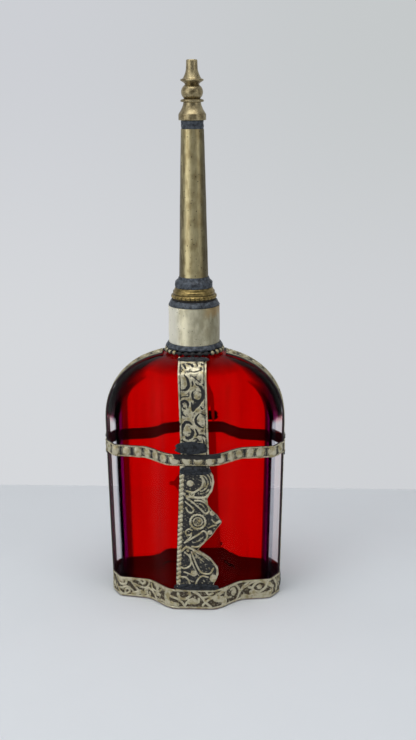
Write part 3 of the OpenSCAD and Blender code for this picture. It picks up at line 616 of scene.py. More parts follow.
SILVER = embossed_silver("embossed_silver", 0.24)
EDGE_SILVER = embossed_silver("edge_silver", 0.03, (0.52, 0.47, 0.32), (0.32, 0.26, 0.12))
BAND_SILVER = embossed_silver("band_silver", 0.04, hollow=(0.045, 0.030, 0.014))
BELT_SILVER = embossed_silver("belt_silver", 0.035)
SOLDER = dark_solder("dark_solder")
GREY_SOLDER = dark_solder("grey_solder", (0.028, 0.032, 0.040), (0.085, 0.100, 0.120), (0.24, 0.25, 0.27))
OLIVE = aged_brass("olive_brass", (0.57, 0.49, 0.27), (0.33, 0.26, 0.125), shaded_sides=True)
TURNED = aged_brass("turned_brass", (0.42, 0.35, 0.20), (0.20, 0.155, 0.08), streak=1.0)
GOLD = ring_metal("ring_brass")
SLEEVE = sleeve_metal("sleeve_metal")
PLASTER = matt("plaster", (0.80, 0.77, 0.70), (0.62, 0.58, 0.50), 0.1)
LEATHER = matt("washer_leather", (0.035, 0.028, 0.022), (0.012, 0.010, 0.008), 0.08)
print("metal finishes", [m.name for m in (SILVER, EDGE_SILVER, SOLDER, OLIVE, TURNED, GOLD, SLEEVE)])

# %% [markdown]
# ## Relief as distances
#
# An embossed strip is a height field on a grid. Each line of the pattern is a smooth curve with a
# half width at each of its points, and its height at any place follows from the distance to the
# curve. Curves, domes and rings are added by taking the larger of the two heights, so any pattern
# is one expression over whole arrays.

# %% Relief helpers
CURVE_STEPS = 6
CLOUD_WAVES = 28


def curve(points):
    """A smooth row of values through the given rows: a cubic between each pair of neighbours,
    whose slopes are half the difference of the points on either side."""
    p = np.asarray(points, float)
    p = np.vstack([2 * p[:1] - p[1:2], p, 2 * p[-1:] - p[-2:-1]])
    t = np.linspace(0, 1, CURVE_STEPS, endpoint=False)[None, :, None]
    a, b, c, d = (p[k:len(p) - 3 + k, None] for k in range(4))
    rows = b + 0.5 * t * (c - a + t * (2 * a - 5 * b + 4 * c - d + t * (3 * (b - c) + d - a)))
    return np.vstack([rows.reshape(-1, p.shape[1]), p[-2:-1]])


def ridge(x, z, points, width):
    """A rounded line from 0 to 1. width is its half width, one number or one for each point. The
    height falls with the square of the distance, counted in half widths, and reaches 0 at 1."""
    rows = curve(np.column_stack([np.asarray(points, float), np.broadcast_to(width, len(points))]))
    best = np.full(x.shape, 9.0)
    for (ax, az, aw), (bx, bz, bw) in zip(rows[:-1], rows[1:]):
        dx, dz = bx - ax, bz - az
        t = np.clip(((x - ax) * dx + (z - az) * dz) / (dx * dx + dz * dz + 1e-9), 0, 1)
        away = np.hypot(x - ax - t * dx, z - az - t * dz) / np.maximum(0.05, aw + t * (bw - aw))
        best = np.minimum(best, away)
    return np.clip(1.3 * (1 - best**2), 0, 1)


def dome(x, z, at, radius):
    """A round head from 0 at its edge to 1 on top, with the height of a ball."""
    return np.sqrt(np.clip(1 - ((x - at[0])**2 + (z - at[1])**2) / radius**2, 0, 1))


def hoop(x, z, at, radius, width, beads=0):
    """A raised circle, whose inner edge can be nicked into beads."""
    angle = np.arctan2(z - at[1], x - at[0])
    inner = radius - (0.18 * width * (1 + np.cos(beads * angle)) if beads else 0.0)
    away = np.abs(np.hypot(x - at[0], z - at[1]) - inner) / width
    return np.clip(1.3 * (1 - away**2), 0, 1)


def spiral(at, radius, turns, start, hand):
    """Points of a scroll that winds inwards: the radius falls evenly with the angle."""
    t = np.linspace(0, 1, int(9 * turns) + 4)
    angle = start + hand * 2 * np.pi * turns * t
    r = radius * (1 - 0.86 * t)
    return np.column_stack([at[0] + r * np.cos(angle), at[1] + r * np.sin(angle)])


def clouds(u, v, size, seed):
    """A smooth random field of about -1 to 1 whose humps are about size across: the sum of plane
    waves with random directions, lengths and phases."""
    dice = np.random.default_rng(seed)
    total = np.zeros(np.broadcast(u, v).shape)
    for _ in range(CLOUD_WAVES):
        way, phase = dice.uniform(0, 2 * np.pi, 2)
        k = np.pi / size * dice.uniform(0.5, 1.5)
        total += np.cos(k * (u * np.cos(way) + v * np.sin(way)) + phase)
    return total / np.sqrt(CLOUD_WAVES)


def highest(*fields):
    return np.maximum.reduce(fields)


def along(path):
    """Distance from the first point of an open path to each of its points."""
    return np.concatenate([[0], np.cumsum(np.linalg.norm(np.diff(path, axis=0), axis=1))])


def even_path(path, step):
    """The same path as points about step apart."""
    s = along(path)
    want = np.linspace(0, s[-1], int(s[-1] / step) + 1)
    return np.column_stack([np.interp(want, s, path[:, k]) for k in range(path.shape[1])])


def strip(centre, across, normal, v, height, gap, thickness):
    """A thin plate that follows a path. Each row of points goes across the plate on its outer
    face, raised by height, and back in six points on its inner face, which lies gap off the
    glass. v is the place of each outer point across the path."""
    c, a, n = centre[:, None], across[:, None], normal[:, None]
    outer = c + v[..., None] * a + (gap + thickness + height)[..., None] * n
    back = v[:, :1] + (v[:, -1:] - v[:, :1]) * np.linspace(1, 0, 6)
    inner = c + back[..., None] * a + gap * n
    return np.concatenate([outer, inner], axis=1)


def strip_mesh(name, rings, relief, closed=False):
    """A strip as a mesh, with its relief number: -1 on the whole inner face."""
    hidden = np.full((len(rings), rings.shape[1] - relief.shape[1]), -1.0)
    numbers = {"relief": np.hstack([relief, hidden])}
    return loft(name, rings, ring_closed=closed, values=numbers, sharp=80.0)


def half_turn(rings):
    """The same rings on the other side of the flask."""
    return rings * [-1, -1, 1]


print("relief helpers ready")

# %% [markdown]
# ## The plaque below the belt
#
# The plaque has a straight left border of coarse beads and a scalloped right edge: a half-moon on
# top, a point with a wire circle in the middle and a fan at the foot. The heights are counted
# from its foot and the sides from the middle of the flask.

# %% Plaque
BASE_Z, BASE_H = 0.6, 10.4
BELT_Z, BELT_H = 77.4, 6.0
PLAQUE_Z, PLAQUE_TOP = BASE_Z + BASE_H + 0.05, BELT_Z - 0.05
GAP = 0.15
BELT_TOP = BELT_Z + BELT_H + 0.05

RIGHT_EDGE = np.array([
    (0.0, 9.8), (3.0, 10.0), (5.9, 11.3), (9.0, 12.7), (13.0, 12.3), (18.0, 8.6), (20.9, 4.5),
    (22.2, 2.6), (24.4, 4.4), (27.4, 7.2), (29.9, 9.5), (33.9, 12.1), (36.6, 14.2), (37.4, 14.2),
    (40.7, 12.2), (43.1, 9.7), (46.0, 7.6), (49.4, 7.2), (51.5, 8.4), (53.8, 9.7), (58.1, 10.6),
    (61.5, 10.2), (63.9, 8.8), (66.3, 8.4)])


def border_x(h):
    """Outer edge of the straight border at height h above the foot."""
    return -8.9 + (8.9 - 6.1) * h / (PLAQUE_TOP - PLAQUE_Z)


def plaque_relief(x, h):
    """Height of the plaque's pattern, from 0 to 1.3, at x and at height h above its foot."""
    def line(points, width):
        return ridge(x, h, points, 1.28 * np.asarray(width))

    b = x - border_x(h)
    roll = clouds(x, h, 1.6, 5)
    twist = 0.5 + 0.5 * np.cos(2 * np.pi * (h / 2.35 + 0.16 * np.sin(b * 2.4) + 0.05 * roll))
    border = np.clip(1.15 - np.abs((b - 1.25) / 1.3) ** 2.5, 0, 1) * (0.42 + 0.68 * twist)
    arc = [(9.8, 63.3), (10.2, 58.3), (9.2, 53.9), (6.6, 50.4), (3.0, 49.9), (-0.6, 50.2), (-2.8, 50.6)]
    moon = np.hypot(x - 3.3, h - 57.7)
    fan = (moon > 2.6) & (moon < 7.4) & (x > 3.6) & (h > 51.4)
    ribs = (0.5 + 0.28 * np.cos(2 * np.pi * moon / 1.45)) * fan
    ribs = ribs * (0.75 + 0.25 * clouds(x, h, 2.0, 7))
    scallop = [(0.6, 62.9), (2.2, 61.9), (3.6, 62.2), (4.9, 60.4), (5.2, 57.6), (4.2, 55.2), (2.4, 53.7),
               (0.3, 52.6), (-2.6, 53.3)]
    nick = 0.42 + 0.12 * np.cos(h * 5.2) * np.cos(x * 4.6)
    lines = highest(
        line(arc, 0.55), line(scallop, 0.5) * (0.7 + nick),
        line(spiral((-0.6, 51.9), 1.5, 1.2, 0.4, -1), 0.34),
        line([(-2.9, 49.7), (0.3, 47.3), (3.6, 44.2), (6.2, 41.7), (7.7, 42.4), (8.0, 44.4), (6.7, 46.8),
                     (4.0, 48.3), (1.2, 48.4)], 0.42),
        line([(1.9, 47.0), (4.4, 46.4), (6.4, 44.0)], (0.1, 0.42, 0.1)) * 0.55,
        line([(-3.4, 47.6), (-0.7, 45.2), (0.5, 43.4), (-0.6, 41.9), (-2.2, 42.6), (-3.3, 44.6)], 0.38),
        line([(8.6, 45.6), (7.5, 47.4), (5.6, 49.0)], 0.5),
        line([(-0.4, 32.6), (-2.0, 33.2), (-3.4, 32.2), (-3.4, 30.6), (-1.9, 29.9), (-0.7, 31.1)], 0.36),
        line([(-0.7, 31.1), (-1.3, 28.8), (-3.2, 27.0)], 0.36),
        line([(-4.2, 25.9), (-0.4, 28.3), (3.1, 30.7), (5.3, 32.3), (7.0, 30.7), (6.9, 28.6), (5.2, 25.9),
                     (2.2, 23.7), (-0.6, 23.9)], 0.42),
        line([(0.6, 26.0), (3.4, 27.2), (5.4, 29.4)], (0.1, 0.4, 0.1)) * 0.5,
        line([(-5.4, 21.6), (-3.6, 23.4), (-1.4, 22.9), (0.6, 22.1)], 0.55),
        line([(-4.1, 20.6), (-2.0, 18.7), (-1.0, 15.9), (-1.8, 13.2), (-4.4, 11.9), (-6.2, 12.6)], 0.42),
        line([(0.2, 21.6), (3.6, 20.6), (7.2, 18.5), (10.4, 15.0), (12.0, 11.6), (11.9, 8.6)], 0.5),
        line([(-0.7, 20.8), (0.2, 17.8), (1.7, 13.8), (3.4, 10.4), (5.6, 9.1), (8.4, 9.4), (10.0, 12.1)],
              0.42) * (0.8 + nick * 0.5),
        line([(0.4, 20.4), (3.2, 17.6), (5.4, 15.4)], (0.5, 0.7, 0.2)) * 0.5,
        line([(1.0, 20.9), (5.0, 19.0), (8.0, 16.2)], (0.3, 0.5, 0.2)) * 0.55,
        line([(-1.6, 19.6), (-0.6, 15.2), (1.4, 10.2), (2.9, 7.8)], (0.4, 0.4, 0.3, 0.2)) * 0.6,
        line([(-6.0, 7.2), (-4.0, 7.0), (-2.6, 5.6), (-1.7, 3.0)], 0.42),
        line([(0.8, 2.6), (2.2, 5.8), (4.4, 7.8), (7.2, 7.3)], 0.42),
        line([(-4.4, 9.9), (-2.6, 9.2), (-1.2, 8.6)], 0.34),
        line([(9.6, 38.0), (11.4, 36.6), (13.2, 37.6)], (0.2, 0.5, 0.7)),
        line([(7.6, 33.9), (9.6, 35.0), (11.6, 35.6)], (0.2, 0.45, 0.3)) * 0.7)
    circle_line = hoop(x, h, (2.5, 37.2), 3.85, 0.62, beads=17)
    dish = 0.42 * dome(x, h, (2.5, 37.2), 3.2) + 0.3 * hoop(x, h, (2.5, 37.2), 2.2, 0.4)
    grains = highest(1.25 * dome(x, h, (-1.1, 57.4), 1.75), dome(x, h, (9.7, 41.9), 1.5),
                     dome(x, h, (8.4, 31.5), 1.4), dome(x, h, (0.2, 9.2), 1.8), dome(x, h, (10.2, 6.6), 2.3),
                     dome(x, h, (3.3, 37.7), 0.75) * 0.95, 0.8 * dome(x, h, (-2.6, 21.6), 0.9),
                     0.8 * dome(x, h, (5.2, 49.6), 1.1), 0.7 * dome(x, h, (-3.9, 51.8), 0.8))
    inner = 0.30 * dome(x, h, (2.3, 1.8), 3.0) + 0.28 * dome(x, h, (-3.4, 3.2), 2.6)
    field = 0.20 + 0.15 * clouds(x, h, 0.9, 11)
    pattern = highest(field, ribs, lines, circle_line, dish, grains, inner)
    return np.where(b < 2.5, np.maximum(border, np.where(b < 2.1, 0, pattern)), pattern)


def plaque_rings():
    """Rows from the foot up, each from the straight border to the scalloped edge."""
    h = np.linspace(0, PLAQUE_TOP - PLAQUE_Z, 380)
    wiggle = 0.10 * noise_1d(len(h), 40, 3)
    left = border_x(h) + 0.06 * noise_1d(len(h), 60, 4)
    right = np.interp(h, RIGHT_EDGE[:, 0], RIGHT_EDGE[:, 1]) + wiggle
    x = left[:, None] + (right - left)[:, None] * np.linspace(0, 1, 150)
    tall = h[:, None] + 0 * x
    pattern = plaque_relief(x, tall)
    rim = np.clip((right[:, None] - x) / 0.55, 0, 1)
    pattern = np.maximum(pattern, 0.85 * np.clip(1.2 - np.abs(rim - 0.5) * 2.2, 0, 1) * (tall < 64))
    z = PLAQUE_Z + h
    zero = np.zeros_like(z)
    centre = np.column_stack([zero, -panel_depth(z), z])
    across = np.tile([1.0, 0.0, 0.0], (len(z), 1))
    normal = np.tile([0.0, -1.0, 0.0], (len(z), 1))
    rings = strip(centre, across, normal, x, 0.62 * pattern, GAP, 0.75)
    return rings, pattern


plaque, plaque_pattern = plaque_rings()
for side, rings in (("front", plaque), ("back", half_turn(plaque))):
    plate = strip_mesh(side + "_plaque_relief", rings, plaque_pattern)
    piece(plate, "bottle", "nickel_silver", SILVER, side + "_plaque")

# %% [markdown]
# ## The strap above the belt
#
# It climbs the middle panel and bends back over the shoulder to the foot of the neck. Its field is
# pale, and tapered crescents, commas and curls are cut into it. Each cut is a row of (x, z) points
# with a half width at each, all in millimetres. The lines are raised along their own points, and
# the eyes are small domes, each with its radius and its place.

# %% Front and back strap
STRAP_W, STRAP_END = 13.6, 15.55
STRAP_CUTS = [
    ((0.2, 0.75, 0.95, 0.8, 0.2),
     [(-3.4, 122.6), (-1.7, 120.5), (-1.3, 117.9), (-2.7, 115.9), (-4.9, 115.8)]),
    ((0.3, 0.9, 1.15, 1.1, 0.9, 0.7),
     [(2.4, 118.3), (4.6, 117), (5.7, 114.5), (5.3, 111.7), (3.4, 110.3), (0.7, 111.3)]),
    ((0.6, 0.65, 0.4), [(0.9, 111.4), (0.4, 113.3), (0.7, 114.9)]),
    ((0.3, 1, 1.5, 1.2, 0.3), [(4.9, 110.7), (3.6, 109.2), (1.8, 108), (0.8, 106.5), (0.9, 105.2)]),
    ((0.4, 0.6, 0.3), [(0.1, 109.5), (0.3, 107.6), (0.7, 106.5)]),
    ((0.3, 0.7, 0.75, 0.7, 0.3), [(-4.9, 107.2), (-4.7, 109.5), (-3.1, 110.4), (-1.7, 109.1), (-1.8, 107)]),
    ((0.3, 0.5, 0.3), [(-4.3, 108.4), (-3.8, 106.8), (-2.8, 106.3)]),
    ((0.3, 0.6, 0.7, 0.6, 0.3), [(3.6, 104), (2.1, 101.9), (2.1, 99.6), (3.7, 97.7), (5.7, 96.9)]),
    ((0.3, 0.8, 0.9, 0.8, 0.3), [(-4.8, 93.9), (-4.3, 97.2), (-3.1, 99.4), (-1.4, 99.6), (0.2, 98.4)]),
    ((0.3, 0.9, 1, 0.8, 0.3), [(-0.5, 96.5), (0.5, 94.6), (-0.4, 92.4), (-2.3, 91.6), (-3, 92.6)]),
    ((0.4, 0.6, 0.3), [(1.8, 96.1), (2.9, 93.8), (2.2, 92.7)]),
    ((0.3, 0.5, 0.4), [(3.1, 93.3), (5.3, 93.3), (6.8, 92.1)]),
    ((0.3, 0.4, 0.2), [(-5.8, 91), (-3.6, 89.9), (-1.4, 89.1)]),
    ((0.2, 0.45, 0.2), [(1.2, 89.2), (2.7, 90.3), (3.8, 90)]),
    ((0.2, 0.5, 0.3), [(5.3, 91.5), (5.8, 89.2), (4.9, 87.2)]),
    ((0.2, 0.4, 0.2), [(0.5, 91.1), (2, 91.5), (3.1, 91.1)]),
    ((0.3, 0.5, 0.3), [(-6.4, 100.3), (-5.7, 99.2), (-5.9, 95.7)]),
    ((0.3, 0.45, 0.2), [(-5.9, 105.1), (-4.5, 104.7), (-4.3, 103.2)]),
    ((0.2, 0.4, 0.2), [(-4.5, 103.6), (-3.6, 103.1), (-3, 102.6)]),
    ((0.3, 0.37, 0.37, 0.3), [(-5.5, 111.6), (-4, 112.4), (-1.5, 112.6), (-1.1, 113.7)]),
    ((0.3, 0.5, 0.3), [(0.4, 120), (0.8, 118.6), (0.4, 117.5)]),
    ((0.2, 0.4, 0.2), [(1.9, 119), (2.4, 118.7), (2.6, 118.3)]),
    ((0.3, 0.5, 0.2), [(5.3, 118.7), (5.8, 118.3), (5.9, 117.9)]),
    ((0.3, 0.45, 0.2), [(4.3, 107.7), (5, 106.5), (5.8, 106.9)]),
    ((0.2, 0.4, 0.2), [(4.3, 104.2), (5.4, 103.7), (6.3, 103.1)]),
    ((0.2, 0.6, 0.3), [(-2.7, 129.1), (-1.3, 128.6), (-0.2, 127.6)]),
    ((0.2, 0.7, 0.2), [(-0, 128.8), (0.3, 127.3), (0.5, 126.5)]),
    ((0.4, 0.7, 0.3), [(-4.2, 128.4), (-3.5, 127.2), (-2.8, 125.4)]),
    ((0.3, 0.6, 0.2), [(4.5, 129), (4.8, 128.3), (4.8, 127.7)]),
    ((0.2, 0.4, 0.2), [(2.1, 128.8), (2.6, 128.1), (2.7, 127.3)]),
    ((0.15, 0.3, 0.15), [(-5, 125.7), (-4.4, 125.2), (-4.1, 124.6)]),
    ((0.15, 0.3, 0.15), [(-5.5, 124.8), (-4.9, 124.3), (-4.6, 123.9)]),
    ((0.15, 0.3, 0.15), [(-1.3, 124.3), (1.5, 123.9), (4.1, 124.7)]),
    ((0.15, 0.3, 0.15), [(-0.3, 122.4), (2.2, 120.9), (4.4, 119.4)])]
STRAP_LINES = [
    [(-2.6, 123.9), (-1, 120.9), (-0.4, 117.9), (-1.6, 114.8), (-4, 113.3)],
    [(-0.3, 116.4), (1.1, 117.5), (3.7, 117.5)],
    [(-0.8, 111.8), (-0.6, 108), (0.3, 104.6), (3.2, 106.9), (5.8, 110.3), (6.4, 114.1), (5.5, 117.2)],
    [(-5.5, 110.3), (-4, 111.6), (-1.9, 111.2), (-0.8, 109.2)],
    [(1.4, 103.4), (1, 100.4), (2, 97.7), (4.2, 95.8)],
    [(-5.3, 95.7), (-4.9, 98.8), (-3.4, 100.7), (-1.2, 100.9), (1, 99.2)],
    [(0.9, 97.3), (1.8, 94.2), (0.5, 91.1)]]
STRAP_EYES = [
    (0.7, (2.5, 112.4)), (0.7, (-3.4, 107.7)), (0.9, (4.4, 99.8)), (0.9, (-2.2, 95.3)), (0.9, (-4.3, 119)),
    (0.6, (2.6, 114.5))]


def shoulder_path(step):
    """Depth and height of the middle of the panel, from the belt up to the foot of the neck."""
    bend = ARCH_TOP - 10.0
    z = np.concatenate([np.linspace(BELT_TOP, bend, 60),
                        bend + 10.0 * np.sin(np.linspace(0, np.pi / 2, 400)[1:])])
    depth = skin_depth(0 * z, z)
    keep = depth > STRAP_END
    return even_path(np.column_stack([depth, z])[keep], step)


def path_frame(path):
    """Unit normals to the left of a path in its own plane."""
    d = np.gradient(path, axis=0)
    d /= np.linalg.norm(d, axis=1)[:, None]
    return np.column_stack([d[:, 1], -d[:, 0]])


def strap_relief(x, z):
    """Height of the strap's pattern at x and at height z, both as seen from the front: cuts sunk
    into a pale field, with a thin raised line beside many of them."""
    cuts = highest(*[ridge(x, z, points, width) for width, points in STRAP_CUTS])
    lines = highest(*[ridge(x, z, points, 0.32) for points in STRAP_LINES])
    eyes = highest(*[dome(x, z, at, radius) for radius, at in STRAP_EYES])
    field = 0.60 + 0.17 * clouds(x, z, 1.5, 21)
    return highest(field * (1 - cuts), 0.92 * lines * (1 - 0.6 * cuts), 0.95 * eyes)


def strap_rings(side):
    """Rows from the belt up over the shoulder. The strap leans a little to one side."""
    path = shoulder_path(0.17)
    s = along(path)
    lean = 0.1 + (129.7 - (BELT_TOP + s)) / 41 * 1.1
    v = np.linspace(-STRAP_W / 2, STRAP_W / 2, 92) * np.ones((len(path), 1))
    pattern = strap_relief(lean[:, None] + v, (BELT_TOP + s)[:, None] + 0 * v)
    rim = np.abs(np.abs(v) - (STRAP_W / 2 - 0.45)) / 0.5
    groove = np.abs(np.abs(v) - (STRAP_W / 2 - 1.15)) / 0.35
    pattern = pattern * np.clip(groove**2, 0.55, 1)
    worn = 0.55 + 0.30 * clouds(v, s[:, None], 1.2, 23)
    pattern = np.maximum(pattern, np.clip(1.2 - rim**2, 0, 1) * worn)
    zero = np.zeros(len(path))
    out = path_frame(path)
    centre = np.column_stack([lean, -path[:, 0], path[:, 1]])
    across = np.tile([1.0, 0.0, 0.0], (len(path), 1))
    normal = np.column_stack([zero, -out[:, 0], out[:, 1]])
    rings = strip(centre, across, normal, v, 0.6 * pattern, GAP, 0.6)
    return (half_turn(rings) if side == "back" else rings), pattern


for side in ("front", "back"):
    rings, pattern = strap_rings(side)
    strap = strip_mesh(side + "_strap_relief", rings, pattern)
    piece(strap, "bottle", "nickel_silver", SILVER, side + "_strap")

# %% [markdown]
# ## Bands round the flask
#
# The base band and the belt follow the outline of the flask at one height. The place on them is
# counted in millimetres from the middle of the front, to the right. Each row of the band's lines
# is a half width and the points of one smooth curve, as places along and across the band.

# %% Base band
PAIR_HIGH = 5.2


def outline_path(z, step):
    """The flask's outline at height z from the middle of the back, round by the left side and the
    front, with the distance to the middle of the front and the outward normals."""
    whole = outline(z, 0.0, 4000, 0.5)
    start = int(np.argmin(np.hypot(whole[:, 0], whole[:, 1] - whole[:, 1].max())))
    path = np.roll(whole, -start, axis=0)
    path = even_path(np.vstack([path, path[:1]]), step)[:-1]
    d = np.roll(path, -1, axis=0) - np.roll(path, 1, axis=0)
    d = smooth_loop(d / np.linalg.norm(d, axis=1)[:, None], 2.0)
    d /= np.linalg.norm(d, axis=1)[:, None]
    s = along(path)
    return path, s - s[-1] / 2, np.column_stack([d[:, 1], -d[:, 0]])


def scroll_pair(s, v, at):
    """Two spirals joined by a slanting stem, and a leaf in each corner."""
    left, right = (at - 1.9, PAIR_HIGH + 1.7), (at + 1.9, PAIR_HIGH - 1.7)
    one = ridge(s, v, spiral(left, 2.3, 1.5, -1.0, 1), 0.42)
    two = ridge(s, v, spiral(right, 2.3, 1.5, 2.1, 1), 0.42)
    bar = [(left[0] + 1.6, left[1] - 1.6), (at, PAIR_HIGH), (right[0] - 1.6, right[1] + 1.6)]
    stem = ridge(s, v, bar, (0.3, 0.55, 0.3))
    before = [(at - 4.9, 8.7), (at - 3.7, 5.4), (at - 1.6, 2.0)]
    after = [(at + 4.9, 2.0), (at + 3.7, 5.0), (at + 1.6, 8.6)]
    vee = highest(*[ridge(s, v, points, (0.5, 0.4, 0.2)) for points in (before, after)])
    eyes = highest(dome(s, v, left, 0.8), dome(s, v, right, 0.8))
    return highest(one, two, 0.8 * stem, 0.75 * vee, eyes)


BAND_LINES = [
    (0.68, [(-46.2, 9.1), (-43.4, 7.4), (-41.6, 6.3), (-39.7, 6.8), (-39.3, 8.8), (-40.5, 9.6)]),
    (1.22, [(-43.2, 9.6), (-41.5, 8.6)]), (0.54, [(-40.8, 9.6), (-36.8, 8.4), (-34.4, 5.3), (-31.9, 2.9)]),
    (0.47, [(-39, 9.6), (-36.2, 9.2), (-35.2, 9.6)]),
    (0.61, [(-33.6, 9.6), (-32.7, 9.5), (-30.9, 7.7), (-29.3, 8.2), (-29.9, 9.6)]),
    (0.54, [(-35.9, 7.5), (-31.9, 5.9), (-28.7, 5.6), (-26.6, 8.3), (-27.6, 9.6)]),
    (0.54, [(-44.4, 3.2), (-41.7, 4.3), (-39.1, 5.2), (-36.9, 4.1), (-35.7, 2.5), (-36.4, 1.1)]),
    (0.47, [(-40.1, 2.4), (-39.8, 3.8), (-38.2, 4), (-37.6, 2.7), (-38.9, 1.6), (-39.8, 1.8)]),
    (1.22, [(-34.8, 1.6), (-31.9, 2.9), (-30.7, 2.1)]),
    (0.68, [(-29.4, 2.2), (-29.1, 4.2), (-27.1, 5.4), (-24.4, 4.7), (-22.7, 3), (-21.4, 1.1)]),
    (0.61, [(-28.1, 3.3), (-27.9, 1.4), (-26.1, 1.8), (-26.4, 3.1)]),
    (0.54, [(-25.1, 8.4), (-24.3, 6), (-20.8, 5.6), (-17.5, 7.9), (-17.4, 9.6), (-19.7, 9.6), (-23.4, 9.6)]),
    (0.94, [(-22.1, 8.8), (-20.3, 8.5), (-20.8, 7)]),
    (1.72, [(-14.8, 9.6), (-12.8, 9.2), (-13.7, 5), (-12.9, 2.3)]),
    (1.08, [(-19.7, 9.6), (-15.2, 9.6), (-11.3, 9.6)]), (0.68, [(-20, 1.3), (-16.3, 2.1), (-13, 1.3)]),
    (1.08, [(-21.3, 4.1), (-19, 4.4)]), (0.68, [(-45.8, 4.2), (-43.7, 2.8), (-41.4, 1), (-38.9, 0.9)]),
    (0.61, [(-29.5, 0.6), (-26.9, 0.6), (-23.7, 0.6)]),
    (0.68, [(-7.7, 8.3), (-7.4, 6.7), (-5.9, 5.4), (-3.6, 5.5), (-1.8, 7.1), (-2, 9.1)]),
    (0.54, [(0.3, 9.1), (3, 7.5)]), (0.61, [(-11.4, 6.3), (-8.3, 5.4), (-5.9, 3.5), (-4.5, 1.5)]),
    (1.15, [(-10.8, 2.5), (-8.3, 2.1)]), (1.61, [(-1.8, 3.9), (0.3, 4.2)]),
    (0.54, [(-4.5, 1.2), (-2.7, 4.2), (-0.3, 5.5)]),
    (0.54, [(0, 9.2), (2.5, 8.2), (4.3, 6.2), (7.4, 6.6), (10.2, 6.9), (11.9, 8.3)]),
    (0.54, [(6.5, 9.3), (7.7, 7.9), (9.6, 8.6)]), (1.49, [(-1.3, 4), (0.6, 3.7)]),
    (0.68, [(2.8, 5.5), (2.5, 3.8), (1.2, 3.1)]), (0.68, [(4.3, 6.2), (6.5, 3.2), (8.6, 1.2)]),
    (0.54, [(4.6, 1.8), (7.1, 4.5), (9.9, 6.2)]), (1.72, [(11.5, 5.3), (15.6, 3.4), (15.6, 0.7)]),
    (1.08, [(12.9, 7.6), (15.6, 8.8), (19, 9.4)]),
    (0.61, [(16.5, 5.5), (17.3, 9), (19.8, 9.6), (23.2, 9.3), (25.9, 6.4), (25.9, 3.7), (24, 0.6),
            (22, 0.6)]),
    (0.68, [(20.3, 7.6), (22.4, 7.5), (23.4, 5.5), (22.4, 4.1)]),
    (0.54, [(17.1, 5.6), (18.1, 3.9), (20.3, 3.5)]), (0.54, [(26.3, 3.9), (28.3, 7), (31.2, 9.2)]),
    (0.47, [(27.4, 5.4), (29.9, 6.9), (32.8, 8.8), (35.6, 9.6)]),
    (0.68, [(31.5, 6.4), (33.1, 6), (34.1, 4.5), (36.6, 3.7), (39.2, 4.9), (40.4, 6.5), (39.8, 8.7),
            (36.9, 9.2), (34.7, 8), (33.4, 6.3)]),
    (1.22, [(27.4, 0.6), (28.7, 1.8), (30.6, 1.3)]),
    (1.22, [(32.8, 3.6), (35.4, 2), (39.2, 2.1), (43.7, 3.3)]),
    (0.81, [(32.8, 0.6), (35.4, 1), (38.6, 0.6), (42.4, 1.2)]),
    (0.94, [(40.1, 9.6), (41.7, 7.8), (44.3, 5.1)]), (0.81, [(45.3, 9.6), (47.8, 5.4), (47.3, 2.1)]),
    (0.68, [(30.9, 0.6), (32.2, 1.9), (34.1, 3.2)])]


def band_relief(s, v):
    """Height of the base band's pattern: the lines of the front, a boss in a ring on its right, and
    scroll pairs on the narrow sides and the back."""
    total = 0.24 + 0.14 * clouds(s, v, 1.0, 31)
    for at in (-96.0, -85.0, -74.0, -63.0, -51.5, 53.0, 64.0, 75.0, 86.0, 97.0):
        near = np.abs(s[:, 0] - at) < 7
        total[near] = highest(total[near], scroll_pair(s[near], v[near], at))
    front = np.abs(s[:, 0]) < 50
    s, v = s[front], v[front]
    lines = highest(*[ridge(s, v, points, 1.2 * width) for width, points in BAND_LINES])
    boss = highest(dome(s, v, (-20.5, 9.0), 1.3), 0.9 * dome(s, v, (22.2, 5.4), 1.9),
                   0.9 * dome(s, v, (37.0, 6.4), 1.5))
    total[front] = highest(total[front], 0.95 * lines, boss)
    return total


path, s, out = outline_path(BASE_Z + BASE_H, 0.2)
v = np.linspace(0, BASE_H, 56) * np.ones((len(path), 1))
band_pattern = band_relief(s[:, None] + 0 * v, v)
edges = highest(np.clip(1.2 - ((v - 0.55) / 0.55) ** 2, 0, 1), np.clip(1.2 - ((v - 9.85) / 0.6) ** 2, 0, 1))
band_pattern = highest(edges * (0.92 + 0.10 * clouds(s[:, None], v, 1.5, 33)), band_pattern)
wave = 0.08 * noise_1d(len(path), 60, 8)
v = v + wave[:, None] * (2 * v / BASE_H - 1) * (v > 9.0)
centre = np.column_stack([path, np.full(len(path), BASE_Z)])
across = np.tile([0.0, 0.0, 1.0], (len(path), 1))
rings = strip(centre, across, np.column_stack([out, 0 * s]), v, 0.46 * band_pattern, GAP, 0.5)
piece(strip_mesh("base_band_relief", rings, band_pattern, closed=True), "bottle", "nickel_silver",
      BAND_SILVER, "base_band")

# %% Belt
BOSSES = 20


